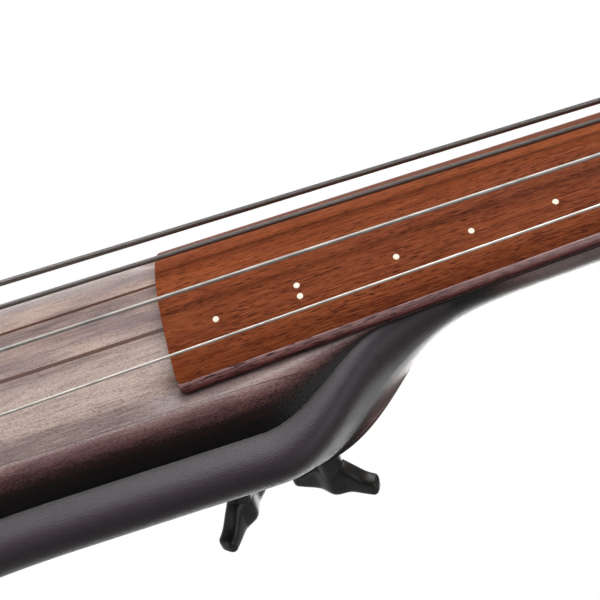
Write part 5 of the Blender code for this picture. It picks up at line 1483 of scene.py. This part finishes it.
OUTER_RADIUS = 0.0160
OUTER_TOP = 0.490
OUTER_FOOT = 0.120
TUBE_WALL = 0.0020
TUBE_OVERLAP = 0.340
SOCKET_FOOT = 0.122
SOCKET_TOP = 0.216
SOCKET_PLATE = 0.005
SOCKET_HALF = 0.027
BOSS_RADIUS = 0.0088
COLLAR_RADIUS = 0.023
COLLAR_HEIGHT = 0.036
HUB_RADIUS = 0.022
HUB_HEIGHT = 0.075
HUB_FOOT = 0.112
PIN_REACH = 0.041
PIN_Z = 0.158
PIN_RADIUS = 0.003
PIN_HEAD = 0.0055
TONGUE_HALF = 0.0045
TONGUE_REACH = 0.0115
CHEEK_THICK = 0.005
LEG_RADIUS = 0.010
LEG_START = 0.017
FOOT_RADIUS = 0.016
FOOT_HEIGHT = 0.026
FOOT_RIBS = ((0.92, 0.0150), (0.93, 0.0142), (0.90, 0.0138), (0.91, 0.0130), (0.95, 0.0124), (0.97, 0.0110),
             (0.95, 0.0104), (0.96, 0.0096), (1, 0.0090), (1, 0.0040))   # share of the radius, height
LEGS = (("leg_rear", 90), ("leg_bass", 210), ("leg_treble", 330))   # angle about the tube in degrees
STAND_AXIS = Matrix.Translation((0, STAND_Y, 0))
TUBE_BORE = TUBE_RADIUS + GAP


def make_socket():
    """Plate on the back, web, barrel round the tube, and a boss for each wing bolt."""
    back = -BODY_BACK - GAP
    plate_at = frame_at((SOCKET_FOOT + SOCKET_TOP) / 2 - 0.002, 0, back)
    half_y = (SOCKET_TOP - SOCKET_FOOT) / 2 + 0.004
    fit(prism("socket_plate", rounded_box(SOCKET_HALF, half_y, 0.0035), -SOCKET_PLATE, 0, plate_at, BLACK_METAL,
              0.0012), "stand_socket")
    fit(prism("socket_web", rounded_box(SOCKET_OUTER * 0.96, (SOCKET_TOP - SOCKET_FOOT) / 2, 0.0010),
              -TUBE_BACK - back, -0.001, frame_at((SOCKET_FOOT + SOCKET_TOP) / 2, 0, back), BLACK_METAL, 0.0008))
    barrel = [(TUBE_BORE, SOCKET_FOOT, 0.0006), (SOCKET_OUTER, SOCKET_FOOT, 0.001),
              (SOCKET_OUTER, SOCKET_TOP, 0.001), (0, SOCKET_TOP), (0, SOCKET_TOP - 0.003),
              (TUBE_BORE, SOCKET_TOP - 0.003)]
    fit(lathe("socket_barrel", barrel, upright(0, 0, -TUBE_BACK), BLACK_METAL, 96, ring=True))
    bore, end, root = BOLT_RADIUS + GAP, SOCKET_OUTER + BOSS_LENGTH, SOCKET_OUTER - 0.002
    boss = [(bore, root), (bore, end), (BOSS_RADIUS, end, 0.0008), (BOSS_RADIUS, root)]
    for which, u, _ in BOLTS:
        fit(lathe("bolt_boss_" + which, boss, backwards(frame_at(u, 0, -TUBE_BACK)), BLACK_METAL, ring=True))
    outside = backwards(shifted(plate_at, z=-SOCKET_PLATE))
    screws("socket_screws", [shifted(outside, x * (SOCKET_HALF - 0.0045), y * (half_y - 0.010))
                             for x in (-1, 1) for y in (-1, 1)], 0.0032)


def make_tubes():
    """Inner and outer tube, the collar that clamps them and its screw."""
    top, foot = BRIDGE_Z + SOCKET_TOP - 0.003 - GAP, OUTER_TOP - TUBE_OVERLAP
    thin = TUBE_RADIUS - TUBE_WALL
    inner = [(TUBE_RADIUS, top), (TUBE_RADIUS, foot), (thin, foot), (thin, top)]
    fit(lathe("sliding_tube", inner, STAND_AXIS, TUBE_STEEL, 96, ring=True), "inner_tube")
    outer = [(OUTER_RADIUS, OUTER_TOP), (OUTER_RADIUS, OUTER_FOOT), (TUBE_BORE, OUTER_FOOT),
             (TUBE_BORE, OUTER_TOP)]
    fit(lathe("fixed_tube", outer, STAND_AXIS, BLACK_METAL, 96, ring=True), "outer_tube", "stand")
    low = OUTER_TOP - 0.024
    high = low + COLLAR_HEIGHT
    seat, step = OUTER_TOP + GAP, COLLAR_RADIUS - 0.0006
    collar = [(TUBE_BORE, high, 0.0008), (COLLAR_RADIUS - 0.003, high), (COLLAR_RADIUS - 0.0009, high - 0.0009),
              (COLLAR_RADIUS, high - 0.003), (COLLAR_RADIUS, high - 0.0110), (step, high - 0.0114),
              (step, low + 0.0114), (COLLAR_RADIUS, low + 0.0110), (COLLAR_RADIUS, low, 0.002),
              (OUTER_RADIUS + GAP, low), (OUTER_RADIUS + GAP, seat), (TUBE_BORE, seat)]
    fit(lathe("clamp_collar", collar, STAND_AXIS, BLACK_PLASTIC, 96, ring=True), "height_collar", "stand")
    out = spun(shifted(STAND_AXIS, z=(seat + high) / 2), -math.pi / 2, "X")
    hole, root, end = BOLT_RADIUS + GAP, COLLAR_RADIUS - 0.003, COLLAR_RADIUS + 0.006
    boss = [(hole, root), (hole, end), (0.0056, end, 0.0006), (0.0056, root)]
    fit(lathe("collar_boss", boss, out, BLACK_PLASTIC, ring=True), body="stand")
    make_wing_bolt("height_knob", spun(out, math.radians(60)), TUBE_BORE, end + GAP, "height_clamp",
                   "height_screw")


def make_fork(number, cross):
    """Two cheeks on the hub, rounded about the pin, with the leg's tongue between them."""
    root = -(PIN_REACH - OUTER_RADIUS - 0.003)
    a = np.radians(np.linspace(80, -80, 25))
    ear = np.vstack(((root, 0.021), TONGUE_REACH * circle(a), (root, -0.026)))
    for side, which in ((-1, "left"), (1, "right")):
        low = side * (TONGUE_HALF + GAP + CHEEK_THICK / 2) - CHEEK_THICK / 2
        fit(prism(f"fork_cheek_{number}_{which}", ear, low, low + CHEEK_THICK, cross, BLACK_METAL, 0.0008),
            body="stand")


def tongue_outline(slope):
    """The tongue from its side: rounded under the pin, then down the leg's slope into its tube."""
    seat = PIN_REACH - HUB_RADIUS - 2 * GAP
    b = np.radians(np.linspace(0, 75, 20))[1:]
    far, rise = LEG_START + 0.012, LEG_RADIUS * 0.82
    c, s = math.cos(slope), math.sin(slope)
    ends = [(far * c + up * rise * s, up * rise * c - far * s) for up in (-1, 1)]
    return np.vstack(((-seat, 0.0095), (-seat, 0.0035), -TONGUE_REACH * circle(b), ends, (0.004, 0.0110)))


def make_rivet(number, cross):
    """The pin through the fork and the tongue, with a domed head at either end."""
    half = TONGUE_HALF + 2 * GAP + CHEEK_THICK
    head = [(0, half + 0.003), (PIN_HEAD - 0.0022, half + 0.0029), (PIN_HEAD - 0.0006, half + 0.0020),
            (PIN_HEAD, half + 0.0008), (PIN_HEAD, half), (PIN_RADIUS, half)]
    fit(lathe(f"fork_rivet_{number}", head + [(r, -z) for r, z in head[::-1]], cross, BARE_STEEL),
        f"leg_pin_{number}", "stand")


def make_foot(number, body, at):
    """A rubber foot with two ribs round it and a bevelled sole."""
    profile = [(0, FOOT_HEIGHT), (FOOT_RADIUS * 0.45, FOOT_HEIGHT - 0.001),
               (FOOT_RADIUS * 0.8, FOOT_HEIGHT - 0.005),
               *((FOOT_RADIUS * share, z) for share, z in FOOT_RIBS),
               (FOOT_RADIUS - 0.0004, 0.0012), (FOOT_RADIUS - 0.0015, 0), (0, 0)]
    fit(lathe(f"rubber_foot_{number}", profile, at, RUBBER, 96), f"foot_{number}", body)


def make_leg(number, body, angle):
    """The leg with its tongue, tube and foot, and the fork and rivet that hold it."""
    at_pin = shifted(spun(STAND_AXIS, math.radians(angle)), PIN_REACH, 0, PIN_Z)
    cross = spun(at_pin, math.pi / 2, "X")
    make_fork(number, cross)
    reach_x, fall = LEG_REACH - PIN_REACH, PIN_Z - FOOT_HEIGHT * 0.55
    slope, length = math.atan2(fall, reach_x), math.hypot(reach_x, fall)
    fit(prism(f"leg_tongue_{number}", tongue_outline(slope), -TONGUE_HALF, TONGUE_HALF, cross, BLACK_METAL,
              0.0008), f"leg_{number}", body)
    tube = [(0, LEG_START), (LEG_RADIUS - 0.0012, LEG_START), (LEG_RADIUS - 0.0003, LEG_START + 0.0004),
            (LEG_RADIUS, LEG_START + 0.0014), (LEG_RADIUS, length), (0, length)]
    along = spun(spun(at_pin, slope, "Y"), math.pi / 2, "Y")
    fit(lathe(f"leg_tube_{number}", tube, along, BLACK_METAL, 72), body=body)
    make_rivet(number, cross)
    make_foot(number, body, shifted(at_pin, reach_x, 0, -PIN_Z))


def make_hub():
    """The hub that holds the outer tube, with the three legs round it."""
    top, bore, floor = HUB_FOOT + HUB_HEIGHT, OUTER_RADIUS + GAP, OUTER_FOOT - GAP
    hub = [(bore, top, 0.0006), (HUB_RADIUS - 0.002, top), (HUB_RADIUS - 0.0006, top - 0.0006),
           (HUB_RADIUS, top - 0.002), (HUB_RADIUS, HUB_FOOT + 0.003), (HUB_RADIUS - 0.0009, HUB_FOOT + 0.0009),
           (HUB_RADIUS - 0.003, HUB_FOOT), (0, HUB_FOOT), (0, floor), (bore, floor)]
    fit(lathe("leg_hub", hub, STAND_AXIS, BLACK_METAL, 96, ring=True), "stand_hub", "stand")
    for number, (body, angle) in enumerate(LEGS, start=1):
        make_leg(number, body, angle)


# Camera, floor and light

CAMERA_PLACE = (0.273976, -0.403777, 1.016466)
CAMERA_DOWN = 0.7363           # how far it looks below the board's plane
CAMERA_ASIDE = -0.004217
CAMERA_ROLL = -0.316103
CAMERA_LENS = 51.0


def add_camera():
    """Looks down at the front from the treble side, with the strings rising to the right."""
    forward = Vector((-math.cos(CAMERA_DOWN) * math.cos(CAMERA_ASIDE), math.sin(CAMERA_DOWN),
                      math.cos(CAMERA_DOWN) * math.sin(CAMERA_ASIDE)))
    right = forward.cross(Vector((0, -1, 0))).normalized()
    up = right.cross(forward)
    turned_right = math.cos(CAMERA_ROLL) * right + math.sin(CAMERA_ROLL) * up
    turned_up = -math.sin(CAMERA_ROLL) * right + math.cos(CAMERA_ROLL) * up
    matrix = Matrix((turned_right, turned_up, -forward)).transposed().to_4x4()
    matrix.translation = CAMERA_PLACE
    data = bpy.data.cameras.new("studio_camera")
    data.lens = CAMERA_LENS
    data.sensor_width = 36
    data.clip_start = 0.01
    made = new_object("studio_camera", data)
    made.matrix_world = matrix
    bpy.context.scene.camera = made


def add_floor():
    """A round pale floor that ends before the photograph's view reaches it."""
    look = Finish("pale_floor", roughness=0.7)
    look.set("Base Color", look.ramp(look.noise(3.0, 2.0), (0.4, 0.86), (0.6, 0.88)))
    a = once_round(96)
    radii = np.array((0.001, 0.9, 1.25))[:, None]
    rings = np.stack(np.broadcast_arrays(radii * np.cos(a), radii * np.sin(a), -0.0005), axis=-1)
    floor = new_mesh("studio_floor", rings, grid_faces(3, 96, wrap=True), look.made)


BACKDROP = (-0.741, 0.671, 0.0)  # from the object, the way that the camera looks
SKY_GLOW = 2.6
SKY_STOPS = ((0.0, 0.012), (0.22, 0.030), (0.50, 0.060), (0.84, 0.085), (0.885, 0.24), (0.930, 0.90), (1.0, 1.0))
SOFTBOXES = (
    ("front_softbox", (-0.46, -1.45, 1.60), (0.0, -0.2, 0.95), (1.4, 1.3), 26.5),
    ("front_low_softbox", (-0.30, -1.52, 0.58), (0.0, -0.2, 0.95), (0.35, 0.9), 6.5),
    ("side_softbox", (1.15, -0.15, 2.00), (0.0, -0.15, 1.30), (1.3, 1.2), 5.5),
    ("rear_softbox", (-1.1, 1.25, 1.20), (0.0, 0.0, 0.95), (1.2, 1.4), 12.0),
)


def add_softboxes():
    """Each box is a rectangle of light at a place, turned towards another."""
    for name, at, towards, size, power in SOFTBOXES:
        data = bpy.data.lights.new(name, "AREA")
        data.shape = "RECTANGLE"
        data.size, data.size_y = size
        data.energy = power
        made = new_object(name, data)
        made.location = at
        made.rotation_euler = (Vector(towards) - Vector(at)).to_track_quat("-Z", "Y").to_euler()


def add_world():
    """A white backdrop past the object, dim elsewhere; the camera itself sees only white."""
    world = bpy.data.worlds.new("studio")
    bpy.context.scene.world = world
    world.use_nodes = True
    world.node_tree.nodes.clear()
    sky = Nodes(world.node_tree)
    towards = sky.node("ShaderNodeVectorMath", operation="DOT_PRODUCT")
    sky.feed(towards.inputs[0], sky.node("ShaderNodeTexCoord").outputs["Generated"])
    sky.feed(towards.inputs[1], BACKDROP)
    glow = sky.node("ShaderNodeBackground")
    sky.feed(glow.inputs["Color"], sky.ramp(sky.span(towards.outputs["Value"], -1, 1), *SKY_STOPS))
    sky.feed(glow.inputs["Strength"], SKY_GLOW)
    white = sky.node("ShaderNodeBackground")
    sky.feed(white.inputs["Color"], (1, 1, 1, 1))
    either = sky.node("ShaderNodeMixShader")
    sky.feed(either.inputs["Fac"], sky.node("ShaderNodeLightPath").outputs["Is Camera Ray"])
    sky.feed(either.inputs[1], glow.outputs["Background"])
    sky.feed(either.inputs[2], white.outputs["Background"])
    sky.feed(sky.node("ShaderNodeOutputWorld").inputs["Surface"], either.outputs["Shader"])


make_wood()
make_board()
make_dots()
for string in range(len(STRING_NAMES)):
    make_string(string)
make_body_bolts()
make_nut()
make_truss_rod()
for letter, tuner_place in zip(STRING_NAMES, TUNER_PLACES):
    make_post(letter, *tuner_place)
    make_tuner_plate(letter, *tuner_place)
    make_key(letter, *tuner_place)
make_bridge()
make_tailpiece()
make_controls()
make_jack()
make_battery()
make_socket()
make_tubes()
make_hub()
finish_wood()

add_camera()
add_floor()
add_world()
add_softboxes()
bpy.context.scene.view_settings.view_transform = "Standard"
